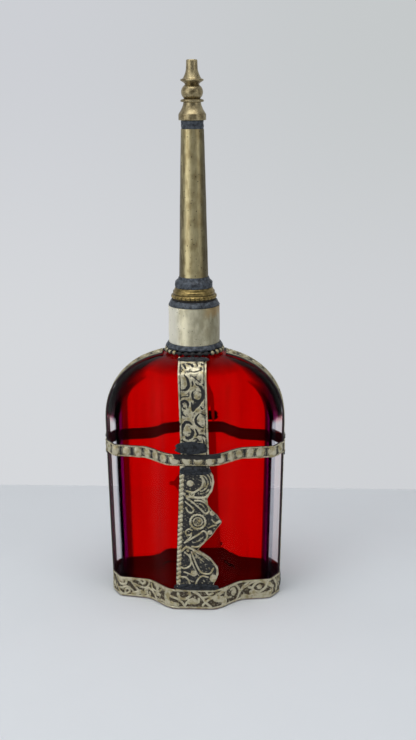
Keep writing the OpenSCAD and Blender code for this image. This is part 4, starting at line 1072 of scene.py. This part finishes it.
def belt_half(side, seed):
    """One half of the belt, from narrow side to narrow side. Each boss is an oval dome between
    two milled rims, and each is a little different, as hand-punched bosses are. In the middle
    the upper part is black with solder."""
    path, s, out = outline_path(BELT_Z + BELT_H, 0.2)
    half = (s[-1] - s[0]) / 4
    keep = np.abs(s) <= half - 0.05
    path, s, out = path[keep], s[keep], out[keep]
    dice = np.random.default_rng(seed)
    pitch = 2 * half / BOSSES
    middle = (np.arange(BOSSES) - (BOSSES - 1) / 2) * pitch + dice.uniform(-0.25, 0.25, BOSSES)
    wide, tall = dice.uniform(2.0, 2.4, BOSSES), dice.uniform(2.3, 2.7, BOSSES)
    v = np.linspace(0, BELT_H, 44) * np.ones((len(path), 1))
    ss = s[:, None] + 0 * v
    near = np.argmin(np.abs(s[:, None] - middle[None]), axis=1)
    u = (s - middle[near]) / wide[near]
    w = (v - BELT_H / 2) / tall[near][:, None]
    tip = dice.uniform(-0.25, 0.25, BOSSES)[near][:, None]
    oval = (np.abs(u[:, None] + tip * w) ** 2.6 + np.abs(w) ** 2.6) ** (1 / 2.6)
    boss = np.sqrt(np.clip(1 - oval**2, 0, 1)) * (1 + 0.10 * clouds(ss, v, 1.2, seed + 1))
    mill = 0.62 + 0.30 * np.cos(2 * np.pi * s / 0.78)[:, None]
    lip = mill * highest(np.clip(1 - ((v - 0.45) / 0.5) ** 2, 0, 1),
                         np.clip(1 - ((v - BELT_H + 0.45) / 0.5) ** 2, 0, 1))
    webs = 0.42 * np.clip(1 - (np.abs(oval - 1.12) / 0.12) ** 2, 0, 1)
    pattern = highest(boss, lip, webs, 0.10 + 0.12 * clouds(ss, v, 1.0, seed + 2))
    ragged = 3.3 + 0.5 * noise_1d(len(path), 60, seed + 5)[:, None]
    clean = 1 - np.clip((12.0 - np.abs(ss - 2.4)) / 1.5, 0, 1) * np.clip((v - ragged) / 0.4, 0, 1)
    centre = np.column_stack([path, np.full(len(path), BELT_Z)])
    across = np.tile([0.0, 0.0, 1.0], (len(path), 1))
    edge = 0.12 * noise_1d(len(path), 50, seed + 3)[:, None] * ((v < 1) | (v > 5))
    v = v + np.abs(edge) * np.sign(3 - v)
    rings = strip(centre, across, np.column_stack([out, 0 * s]), v, 0.9 * pattern, GAP + 0.1, 0.55)
    return (half_turn(rings) if side == "back" else rings), np.clip(pattern * 1.25, 0, 1.2) * clean


for side, seed in (("front", 51), ("back", 61)):
    rings, pattern = belt_half(side, seed)
    half_belt = strip_mesh(f"belt_{side}_relief", rings, pattern)
    piece(half_belt, "bottle", "nickel_silver", BELT_SILVER, "belt_" + side)

# %% Straps over the narrow sides
EDGE_W = 9.0


def rope_relief(y, s, seed):
    """Two twisted ropes along the edges, with a chain of leaves between them."""
    rope = 0.0
    for sign in (-1, 1):
        w = (y - sign * 3.55) / 0.85
        twist = 0.5 + 0.5 * np.cos(2 * np.pi * (s / 1.5 - 0.35 * sign * w))
        rope = np.maximum(rope, np.sqrt(np.clip(1 - w**2, 0, 1)) * (0.55 + 0.45 * twist))
    cell = s / 7.0 + 0.5
    t = (cell - np.floor(cell) - 0.5) * 7.0
    rim = np.abs(np.hypot(t / 3.2, y / (2.1 * np.cos(t / 3.6 * 1.2))) - 0.85) / 0.2
    leaves = np.clip(1 - rim**2, 0, 1)
    eye = np.sqrt(np.clip(1 - (t / 1.2) ** 2 - (y / 0.9) ** 2, 0, 1))
    return highest(rope, leaves, eye, 0.12 + 0.07 * clouds(y, s, 1.4, seed))


def edge_path(z_low, z_high, reach):
    """Side and height along the right narrow side, up to z_high or over the arch down to reach."""
    if reach is None:
        z = np.linspace(z_low, z_high, 40)
        return np.column_stack([half_width(z), z])
    angle = np.linspace(0, np.pi / 2, 300)[1:]
    x = reach + (GLASS_W - reach) * np.cos(angle)
    z = SPRING_Z + ARCH_RISE * (1 - (x / GLASS_W) ** ARCH_N) ** (1 / ARCH_N)
    start = np.linspace(z_low, SPRING_Z, 12)
    return np.vstack([np.column_stack([half_width(start), start]), np.column_stack([x, z])])


for name, ends in (("upper", (BELT_TOP, SPRING_Z, STRAP_END)), ("lower", (PLAQUE_Z, PLAQUE_TOP, None))):
    path = even_path(edge_path(*ends), 0.22)
    s = along(path)
    out = path_frame(path)
    y = np.linspace(-EDGE_W / 2, EDGE_W / 2, 56) * np.ones((len(path), 1))
    for side, sign in (("left", -1), ("right", 1)):
        pattern = rope_relief(y, s[:, None] + 0 * y, 70 + sign)
        zero = np.zeros(len(path))
        centre = np.column_stack([sign * path[:, 0], zero, path[:, 1]])
        normal = np.column_stack([sign * out[:, 0], zero, out[:, 1]])
        rings = strip(centre, np.tile([0.0, 1.0, 0.0], (len(path), 1)), normal, y, 0.5 * pattern, GAP, 0.65)
        strap = strip_mesh(f"{side}_strap_{name}_relief", rings, pattern)
        piece(strap, "bottle", "nickel_silver", EDGE_SILVER, f"{side}_strap_{name}")

# %% [markdown]
# ## Solder
#
# Lead solder lies over every joint in dark lumps. A pad is a strip again, with a ragged outline
# and a swollen middle, and a fillet is a turned piece whose radius wanders with the angle.

# %% Solder pads


def pad_rings(centre, across, normal, low, high, swell, seed):
    """A lump that follows a path: ragged sides between low and high, thin at its outline and
    swollen by up to swell in the middle."""
    m = len(centre)
    t = np.linspace(0, 1, m)
    cut = 1 - np.abs(2 * t - 1) ** 5
    left = low * cut + 0.5 * noise_1d(m, 7, seed) * cut
    right = high * cut + 0.5 * noise_1d(m, 7, seed + 1) * cut
    share = np.linspace(0, 1, 60)
    v = left[:, None] + (right - left)[:, None] * share
    dome_shape = np.clip(1 - np.abs(2 * share - 1) ** 4, 0, 1)[None] * cut[:, None]
    lumps = 0.75 + 0.30 * clouds(v, 9.0 * t[:, None] + 0 * v, 1.7, seed + 2)
    height = swell * np.clip(dome_shape * lumps, 0, 1.0)
    return strip(centre, across, normal, v, height, 0.0, 0.04)


def flat_pad(centre, size, swell, face, seed):
    """A pad on an upright face. centre is its middle, size its width and height, and face the
    direction it looks in: front or right."""
    z = np.linspace(centre[2] - size[1] / 2, centre[2] + size[1] / 2, 48)
    rows = np.tile([centre[0], centre[1], 0.0], (len(z), 1))
    rows[:, 2] = z
    ways = ((1.0, 0.0, 0.0), (0.0, -1.0, 0.0)) if face == "front" else ((0.0, 1.0, 0.0), (1.0, 0.0, 0.0))
    across, normal = (np.tile(way, (len(z), 1)) for way in ways)
    return pad_rings(rows, across, normal, -size[0] / 2, size[0] / 2, swell, seed)


def joined(name, parts):
    """Several closed lofts as one mesh."""
    meshes = [loft(name + "_part", rings, sharp=80.0) for rings in parts]
    corners = [np.array([v.co[:] for v in mesh.vertices]) for mesh in meshes]
    start = np.cumsum([0] + [len(c) for c in corners])
    faces = [[k + first for k in polygon.vertices]
             for mesh, first in zip(meshes, start) for polygon in mesh.polygons]
    whole = bpy.data.meshes.new(name)
    whole.from_pydata(np.vstack(corners).tolist(), [], faces)
    whole.shade_smooth()
    for mesh in meshes:
        bpy.data.meshes.remove(mesh)
    return whole


def both_sides(rings):
    return [rings, half_turn(rings)]


# The pads lie on top of the strips, so their feet are a strip's thickness off the glass.
FRONT_OFF, SIDE_OFF, BASE_OFF, SEAM_OFF = 1.22, 1.17, 1.20, 0.98
belt_face = -(float(panel_depth(BELT_TOP)) + GAP + FRONT_OFF)
plaque_face = -(float(panel_depth(BELT_Z)) + GAP + FRONT_OFF)
side_face = float(half_width(BELT_Z)) + GAP + SIDE_OFF
front_pads = [flat_pad((-0.3, belt_face, BELT_TOP + 3.3), (15.4, 6.6), 0.62, "front", 81),
              flat_pad((1.3, plaque_face, BELT_Z - 2.4), (15.0, 4.8), 0.80, "front", 84)]
side_pads = [flat_pad((side_face, 0.0, z), (8.4, 2.2), 0.62, "right", 87 + k)
             for k, z in enumerate((BELT_TOP + 1.1, BELT_Z - 1.3))]
belt_lumps = [half for pad in front_pads + side_pads for half in both_sides(pad)]
piece(joined("belt_solder_lumps", belt_lumps), "bottle", "solder", SOLDER, "belt_solder")

base_face = -(float(panel_depth(PLAQUE_Z)) + GAP + BASE_OFF)
base_pads = both_sides(flat_pad((1.4, base_face, PLAQUE_Z + 1.8), (22.6, 3.6), 0.75, "front", 93))
seam_x = float(half_width(BASE_Z + BASE_H)) + GAP + SEAM_OFF
seam = [flat_pad((seam_x, 0.0, BASE_Z + BASE_H / 2), (7.0, 9.2), 0.6, "right", 96)]
piece(joined("base_solder_lumps", base_pads + seam), "bottle", "solder", SOLDER, "base_solder")


def shoulder_pad(seed):
    """The lump where a strap ends under the neck beads."""
    path = shoulder_path(0.2)
    path = path[path[:, 1] > 126.6]
    out = path_frame(path)
    zero = np.zeros(len(path))
    normal = np.column_stack([zero, -out[:, 0], out[:, 1]])
    centre = np.column_stack([zero + 0.4, -path[:, 0], path[:, 1]]) + 1.2 * normal
    return pad_rings(centre, np.tile([1.0, 0.0, 0.0], (len(path), 1)), normal, -7.6, 7.6, 0.7, seed)


shoulder_lumps = joined("strap_solder_lumps", [shoulder_pad(101), half_turn(shoulder_pad(104))])
piece(shoulder_lumps, "bottle", "solder", SOLDER, "strap_solder")

# %% [markdown]
# ## The neck
#
# A string of beads lies round the foot of the neck sleeve, and a solder fillet closes the sleeve
# below and a solder cone above. The beads are one ring whose section swells and shrinks.

# %% Beads, fillets and sleeve
BEAD_RING_R, BEAD_R, BEADS, BEAD_Z = 13.55, 1.3, 26, 129.7
SLEEVE_R, SLEEVE_BORE_R = 12.6, 12.07
SLEEVE_FOOT, SLEEVE_TOP = 129.35, 151.7


def bead_ring():
    """A ring of round section: on each bead the radius follows a circle, between beads it is the
    string's. The section is pressed flat on the side of the sleeve, and black solder is smeared
    over the beads in the middle of the front and the back."""
    angle = np.linspace(0, 2 * np.pi, BEADS * 22, endpoint=False)
    phase = (angle * BEADS / (2 * np.pi)) % 1.0 - 0.5
    arc = phase * 2 * np.pi * BEAD_RING_R / BEADS
    size = np.sqrt(np.clip(BEAD_R**2 - arc**2, 0.55**2, None)) * (1 + 0.05 * noise_1d(len(angle), 40, 12))
    turn = np.linspace(0, 2 * np.pi, 24, endpoint=False)
    r = BEAD_RING_R + np.maximum(size[:, None] * np.cos(turn), -0.7)
    z = BEAD_Z + size[:, None] * np.sin(turn)
    smeared = np.clip((np.abs(np.sin(angle)) - 0.80) / 0.06, 0, 1)
    relief = ((size / BEAD_R - 0.55) * 2.2 * (1 - smeared))[:, None] + 0 * r
    return np.stack([r * np.cos(angle)[:, None], r * np.sin(angle)[:, None], z], -1), relief


rings, relief = bead_ring()
beads = loft("neck_beads", rings, ring_closed=True, values={"relief": relief}, sharp=80.0)
piece(beads, "bottle", "nickel_silver", EDGE_SILVER, "neck_bead_ring")


def turned_relief(profile, count, amount, size, seed, where=None):
    """A turned piece whose points are pushed out by clouds of the given size. where gives the
    share of the push at each point of the profile."""
    profile = np.asarray(profile, float)
    rings = turned(profile, count)
    angle = np.linspace(0, 2 * np.pi, count, endpoint=False)[:, None]
    r, z = profile[:, 0][None], profile[:, 1][None]
    x, y = np.cos(angle) * r, np.sin(angle) * r
    both = clouds(x, z + y * 0.7, size, seed) + clouds(y, z - x * 0.7, size, seed + 1)
    push = amount * both / 2
    if where is not None:
        push = push * np.asarray(where, float)[None]
    rings[..., 0] += push * np.cos(angle)
    rings[..., 1] += push * np.sin(angle)
    return rings


def rounded(profile, steps):
    """A closed profile with extra points between its corners, along straight lines."""
    p = np.asarray(profile, float)
    on = np.roll(p, -1, axis=0)
    t = np.linspace(0, 1, steps, endpoint=False)[None, :, None]
    return (p[:, None] + (on - p)[:, None] * t).reshape(-1, 2)


fillet = rounded([(12.66, 131.1), (14.0, 131.1), (14.15, 131.7), (13.6, 132.5), (13.0, 133.4),
                  (12.66, 133.5)], 7)
lift = np.clip((fillet[:, 0] - 12.7) * 1.2, 0, 1)
rings = turned_relief(fillet, 200, 0.45, 2.4, 120, lift)
piece(loft("neck_fillet", rings, ring_closed=True, sharp=80.0), "bottle", "solder", GREY_SOLDER,
      "neck_solder")


def sleeve_rings():
    """The sleeve's thin wall: a long tube with shallow dents and a softened upper edge."""
    z = np.linspace(SLEEVE_FOOT, SLEEVE_TOP, 60)
    outer = np.column_stack([SLEEVE_R - 0.06 * np.exp(-((z - SLEEVE_TOP) / 0.35) ** 2), z])
    inner = np.column_stack([np.full(6, SLEEVE_BORE_R), np.linspace(SLEEVE_TOP, SLEEVE_FOOT, 6)])
    profile = np.vstack([outer, inner])
    where = np.concatenate([np.ones(60), np.zeros(6)])
    return turned_relief(profile, 220, 0.10, 7.0, 131, where)


sleeve = loft("sleeve", sleeve_rings(), ring_closed=True, sharp=60.0)
piece(sleeve, "bottle", "nickel_silver", SLEEVE, "neck_sleeve")

packing = rounded([(10.96, 129.85), (11.98, 129.85), (11.98, 150.8), (10.96, 150.8)], 12)
rings = turned_relief(packing, 90, 0.02, 1.5, 141)
piece(loft("plaster_packing", rings, ring_closed=True), "bottle", "plaster", PLASTER, "neck_packing")
crown = rounded([(7.06, 150.92), (11.98, 150.92), (11.98, 151.68), (7.06, 151.68)], 4)
plain = {"relief": np.ones((120, len(crown)))}
piece(loft("crown_disc", turned(crown, 120), ring_closed=True, values=plain), "bottle", "nickel_silver",
      EDGE_SILVER, "crown_plate")
cone = rounded([(7.06, 151.78), (12.5, 151.78), (12.64, 152.1), (12.3, 152.8), (11.75, 153.7), (11.3, 154.4),
                (7.06, 154.44)], 6)
lift = np.clip((cone[:, 0] - 11.2) * 3, 0, 1)
rings = turned_relief(cone, 220, 0.22, 2.0, 151, lift) * [0.993, 0.993, 1]
piece(loft("crown_cone", rings, ring_closed=True, sharp=80.0), "bottle", "solder", GREY_SOLDER,
      "crown_solder")

# %% [markdown]
# ## The screw joint
#
# The nipple carries a real thread of 1.5 mm pitch. Four turns of the ring lift the head 6 mm, and
# then it is free. The ring has grip notches on its lower rim and a bevelled waist.

# %% Nipple, washer and ring
THREAD_PITCH = 1.5
GRIPS = 30


def nipple_rings():
    """Rows round the axis: the outer profile's radius follows the thread, a wave in height and
    angle with rounded crests, that fades out at both ends."""
    count = 160
    angle = np.linspace(0, 2 * np.pi, count, endpoint=False)[:, None]
    z = np.linspace(151.9, 161.3, 110)[None]
    wave = ((z / THREAD_PITCH - angle / (2 * np.pi)) % 1.0) * 2 - 1
    depth = 0.62 * np.clip(1 - np.abs(wave) * 1.35, 0, 1) ** 0.8
    fade = np.clip((161.2 - z) / 0.8, 0, 1) * np.clip((z - 154.6) / 0.6, 0, 1)
    r = 6.98 - depth * fade
    rest = np.array([(6.3, 161.33), (5.5, 161.33), (5.5, 144.87), (6.95, 144.87), (6.95, 149.4),
                     (8.98, 149.4), (8.98, 150.83), (6.98, 150.83)])
    rr = np.hstack([r, np.tile(rest[:, 0], (count, 1))])
    zz = np.hstack([z + 0 * r, np.tile(rest[:, 1], (count, 1))])
    rings = np.stack([rr * np.cos(angle), rr * np.sin(angle), zz], -1)
    relief = np.hstack([1 - 1.6 * depth * fade, np.ones((count, len(rest)))])
    return rings, relief


rings, relief = nipple_rings()
nipple = loft("nipple", rings, ring_closed=True, values={"relief": relief})
piece(nipple, "bottle", "ring_brass", GOLD, "threaded_nipple")

washer = rounded([(7.08, 154.52), (10.7, 154.52), (10.78, 154.9), (10.7, 155.28), (7.08, 155.28)], 4)
rings = turned_relief(washer, 120, 0.05, 2.0, 161, washer[:, 0] > 9)
piece(loft("washer", rings, ring_closed=True), "washer", "washer_leather", LEATHER, "seal_washer")


def ring_rings():
    """The screw ring: a turned profile whose lower rim is notched and slightly wavy."""
    profile = rounded([(7.06, 155.37), (10.7, 155.37), (11.1, 155.6), (11.2, 156.0), (11.15, 156.7),
                       (10.75, 157.15), (10.2, 157.35), (10.3, 158.3), (10.15, 158.9), (9.7, 159.3),
                       (9.35, 160.1), (9.1, 160.5), (8.2, 160.54), (8.2, 162.0), (5.55, 162.0),
                       (5.55, 161.5), (7.06, 161.4)], 5)
    count = 480
    rings = turned(profile, count)
    angle = np.linspace(0, 2 * np.pi, count, endpoint=False)
    notch = np.clip(np.cos(angle * GRIPS) - 0.35, 0, 1) / 0.65
    low = np.clip((157.0 - profile[:, 1]) / 0.4, 0, 1) * (profile[:, 0] > 10.4)
    pull = 1 - (0.42 * notch[:, None] + 0.04 * noise_1d(count, 25, 9)[:, None] ** 2) * low[None] / 11.0
    rings[..., :2] *= pull[..., None]
    waist = np.exp(-((profile[:, 1] - 157.45) / 0.3) ** 2)
    relief = 1.0 - np.maximum(0.75 * notch[:, None] * low[None], 0.8 * waist[None])
    return rings, relief


rings, relief = ring_rings()
screw_ring = loft("screw_ring", rings, ring_closed=True, values={"relief": relief}, sharp=50.0)
piece(screw_ring, "spout", "ring_brass", GOLD, "union_ring")

# %% [markdown]
# ## The spout
#
# The tube is rolled from sheet, so it has one seam down its side, and it tapers a little. The tip
# is turned: a bell skirt, a disc, a ball, a second disc and a flared mouth with a small hole.

# %% Ring solder, tube, tip solder
fillet = rounded([(8.25, 160.6), (9.1, 160.6), (9.25, 161.4), (9.15, 163.2), (8.5, 164.0), (7.9, 164.4),
                  (7.32, 165.8), (7.2, 165.8), (7.26, 162.2), (8.25, 162.2)], 6)
lift = np.clip((fillet[:, 0] - 7.3) * 1.3, 0, 1)
rings = turned_relief(fillet, 180, 0.24, 2.2, 171, lift) * [0.995, 0.995, 1]
piece(loft("ring_fillet", rings, ring_closed=True, sharp=80.0), "spout", "solder", GREY_SOLDER,
      "ring_solder")

TUBE_Z, TUBE_TOP = 162.1, 235.7
TUBE_R, TUBE_WALL = np.array([7.2, 6.4, 5.5]), 0.6
SEAM_ANGLE = 338


def tube_rings():
    """The tube's wall. Its radius falls in two straight runs, with faint waves from rolling, and
    a groove along its seam on the right with a low rise beside it."""
    z = np.linspace(TUBE_Z, TUBE_TOP, 150)
    stops = [TUBE_Z, (TUBE_Z + TUBE_TOP) / 2, TUBE_TOP]
    r = np.interp(z, stops, TUBE_R)
    inner = np.linspace(TUBE_TOP, TUBE_Z, 12)
    r_in = np.interp(inner, stops, TUBE_R - TUBE_WALL)
    profile = np.vstack([np.column_stack([r - 0.02, z]), np.column_stack([r_in, inner])])
    where = np.concatenate([np.ones(150), np.zeros(12)])
    rings = turned_relief(profile, 360, 0.035, 6.0, 181, where)
    step = np.arange(360)
    seam = (np.radians(step - SEAM_ANGLE) + 0.010 * np.sin(step)) * TUBE_R[1]
    groove = -0.12 * np.exp(-(seam / 0.28) ** 2) + 0.03 * np.exp(-((seam - 0.7) / 0.4) ** 2)
    pull = 1 + groove[:, None] * where[None] / TUBE_R[1]
    rings[..., :2] *= pull[..., None]
    return rings


piece(loft("tube", tube_rings(), ring_closed=True, sharp=60.0), "spout", "aged_brass", OLIVE,
      "spout_tube")

band = rounded([(4.36, 235.78), (5.3, 235.78), (5.42, 236.8), (5.3, 238.2), (5.42, 239.2), (5.3, 239.62),
                (4.36, 239.62)], 6)
lift = np.clip((band[:, 0] - 5.0) * 3, 0, 1)
rings = turned_relief(band, 150, 0.10, 1.6, 191, lift) * [0.99, 0.99, 1]
piece(loft("tip_fillet", rings, ring_closed=True, sharp=80.0), "spout", "solder", GREY_SOLDER,
      "tip_solder")

# %% Turned tip


def tip_profile():
    """Radius and height of the tip: up its outside, over the mouth and down its bore."""
    k = 5.9 / (2 * np.sin(np.radians(52)))
    a = np.radians(np.linspace(-52, 52, 25))
    t = np.linspace(0, 1, 16)
    skirt = np.column_stack([4.15 + 2.3 * (1 - t) ** 1.6, 239.7 + 8.2 * (0.35 + 0.65 * t)])
    ball = np.column_stack([5.15 - k * (1 - np.cos(a)), 249.5 + 2.95 + k * np.sin(a)])
    flare = np.column_stack([2.75 + 1.55 * (1 - t) ** 1.7, 258.6 + 0.55 * 8.4 * t])
    lower = [(5.2, 247.95), (5.48, 248.2), (5.52, 248.6), (5.35, 249.0), (4.6, 249.25), (3.9, 249.5)]
    upper = [(3.35, 256.0), (3.9, 256.6), (5.0, 257.3), (5.42, 257.6), (5.5, 257.9), (5.35, 258.2),
             (4.55, 258.5)]
    mouth = [(2.66, 265.4), (2.64, 266.4), (2.55, 266.8), (2.25, 267.0), (1.5, 267.0), (1.22, 266.8),
             (1.2, 266.0), (1.2, 260.0), (2.3, 260.0), (2.3, 234.75), (2.3, 230.7)]
    foot_part = [(4.3, 230.7), (4.3, 239.7), (6.35, 239.7), (6.5, 239.85), (6.55, 240.2), (6.55, 242.3)]
    return np.vstack([foot_part, skirt, lower, ball, upper, flare, mouth])


profile = tip_profile()
lathe = 0.012 * np.sin(profile[:, 1] * 21.0)
rings = turned(profile + np.column_stack([np.where(profile[:, 0] > 2.5, lathe - 0.012, 0), 0 * lathe]), 200)
piece(loft("tip", rings, ring_closed=True, sharp=50.0), "spout", "aged_brass", TURNED, "sprinkler_tip")

# %% [markdown]
# ## Stage
#
# A pale table that ends behind the object, a wall far behind it and soft lamps. The room in front
# of the object is dim, so that the glass isn't veiled by reflections and its red stays pure. The
# wall and the world show themselves at their own pale colour, and Light Path tells the rays that
# see them from the light that falls on things.

# %% Table, wall and lamps


def glow_where_seen(name, seen_color, lit_color):
    """A matt surface that glows by itself for camera, mirror and glass rays, in the colour given
    by seen_color from its own finish."""
    finish = Finish(name)
    camera_ray, glossy, passed = (finish.add("LightPath", out=kind) for kind in
                                  ("Is Camera Ray", "Is Glossy Ray", "Is Transmission Ray"))
    seen = camera_ray.math("MAXIMUM", glossy).math("MAXIMUM", passed)
    finish.set(Base_Color=lit_color, Roughness=1.0, Specular_IOR_Level=0.0)
    glow = finish.add("Emission", Color=seen_color(finish), Strength=1.0)
    finish.show(finish.add("MixShader", i0=seen, i1=finish.own, i2=glow))
    return finish.material


def sheet_of(name, corners, material):
    mesh = bpy.data.meshes.new(name)
    mesh.from_pydata([tuple(np.array(c) * MM) for c in corners], [], [(0, 1, 2, 3)])
    mesh.materials.append(material)
    made = bpy.data.objects.new(name, mesh)
    bpy.context.scene.collection.objects.link(made)
    return made


def wall_color(finish):
    """Pale grey, with painted light falloff: a little darker and bluer towards the top, and a
    little darker towards the right.
    """
    # Painted light falloff: darker towards the top and the right.
    high = finish.axis("Z").smooth(-269.0, 382.0)
    side = finish.axis("X").smooth(-454.0, 314.0)
    low = finish.blend(side, (0.670, 0.685, 0.710), (0.625, 0.640, 0.665))
    top = finish.blend(side, (0.610, 0.625, 0.660), (0.560, 0.584, 0.592))
    return finish.blend(high, low, top)


TABLE_END = 141.0
TABLE_LIGHT, TABLE_DARK = (0.73, 0.755, 0.78), (0.75, 0.775, 0.80)


def table_top():
    """A pale matt top. Rays through the glass see it glow in a plain tone, a painted light in place
    of the lamps' light that can't reach it there through the flask, with a painted shadow, near
    black, under the flask's own foot."""
    finish = Finish("table")
    grain = finish.noise(30.0, detail=3.0)
    finish.set(Base_Color=finish.blend(grain, TABLE_LIGHT, TABLE_DARK), Roughness=0.9, Specular_IOR_Level=0.1)
    x, y = (finish.axis(name).math("ABSOLUTE") for name in "XY")
    # Painted shadow under the flask's foot, seen through the glass.
    under = x.smooth(50.0, 42.0) * y.smooth(34.0, 26.0)
    tone = finish.blend(under, (0.60, 0.62, 0.65), (0.05, 0.03, 0.05))
    # Painted light: the table glows for rays through the glass.
    plain = finish.add("Emission", Color=tone, Strength=1.0)
    passed = finish.add("LightPath", out="Is Transmission Ray")
    finish.show(finish.add("MixShader", i0=passed, i1=finish.own, i2=plain))
    return finish.material


wide, wall_y = 3000.0, 1500.0
sheet_of("table", [(-wide, -wide, 0), (wide, -wide, 0), (wide, TABLE_END, 0), (-wide, TABLE_END, 0)],
         table_top())
sheet_of("wall", [(-wide, wall_y, -1500), (wide, wall_y, -1500), (wide, wall_y, 2500), (-wide, wall_y, 2500)],
         glow_where_seen("wall", wall_color, (0.6, 0.62, 0.65)))


def lamp(name, place, target, size, power):
    """A square soft box at place that faces target."""
    data = bpy.data.lights.new(name, "AREA")
    data.shape = "RECTANGLE"
    data.size, data.size_y = size[0] * MM, size[1] * MM
    data.energy = power
    made = bpy.data.objects.new(name, data)
    bpy.context.scene.collection.objects.link(made)
    back = np.array(place, float) - np.array(target, float)
    back /= np.linalg.norm(back)
    right = np.cross([0, 0, 1], back) if abs(back[2]) < 0.99 else np.array([1.0, 0, 0])
    right /= np.linalg.norm(right)
    turn = np.eye(4)
    turn[:3, :3] = np.column_stack([right, np.cross(back, right), back])
    turn[:3, 3] = np.array(place) * MM
    made.matrix_world = Matrix(turn.tolist())
    return made


MIDDLE = (0, 0, 110)
lamp("top_soft_box", (0, -150, 900), MIDDLE, (700, 500), 3.35)
lamp("left_soft_box", (-620, -540, 380), MIDDLE, (600, 900), 2.6)
lamp("right_soft_box", (750, -450, 300), MIDDLE, (400, 800), 1.0)

world = bpy.data.worlds.new("studio")
bpy.context.scene.world = world
world.use_nodes = True
tree = world.node_tree
direction = tree.nodes.new("ShaderNodeTexCoord")
split = tree.nodes.new("ShaderNodeSeparateXYZ")
tree.links.new(direction.outputs["Generated"], split.inputs[0])
behind = Wire(split.outputs["Y"]).smooth(-0.45, 0.35)
above = Wire(split.outputs["Z"]).smooth(0.25, 0.95)
left = 1 - Wire(split.outputs["X"]).smooth(-0.4, 0.8) * 0.4
share = behind.math("MAXIMUM", above) * left
background = tree.nodes["Background"]
tones = tree.nodes.new("ShaderNodeCombineXYZ")
for socket, tone in zip(tones.inputs, (0.70, 0.72, 0.75)):
    plug(tree, socket, (share * 0.66 + 0.20) * tone)
tree.links.new(tones.outputs[0], background.inputs["Color"])
background.inputs["Strength"].default_value = 1.0
bpy.context.scene.view_settings.view_transform = "Standard"
print("stage ready")
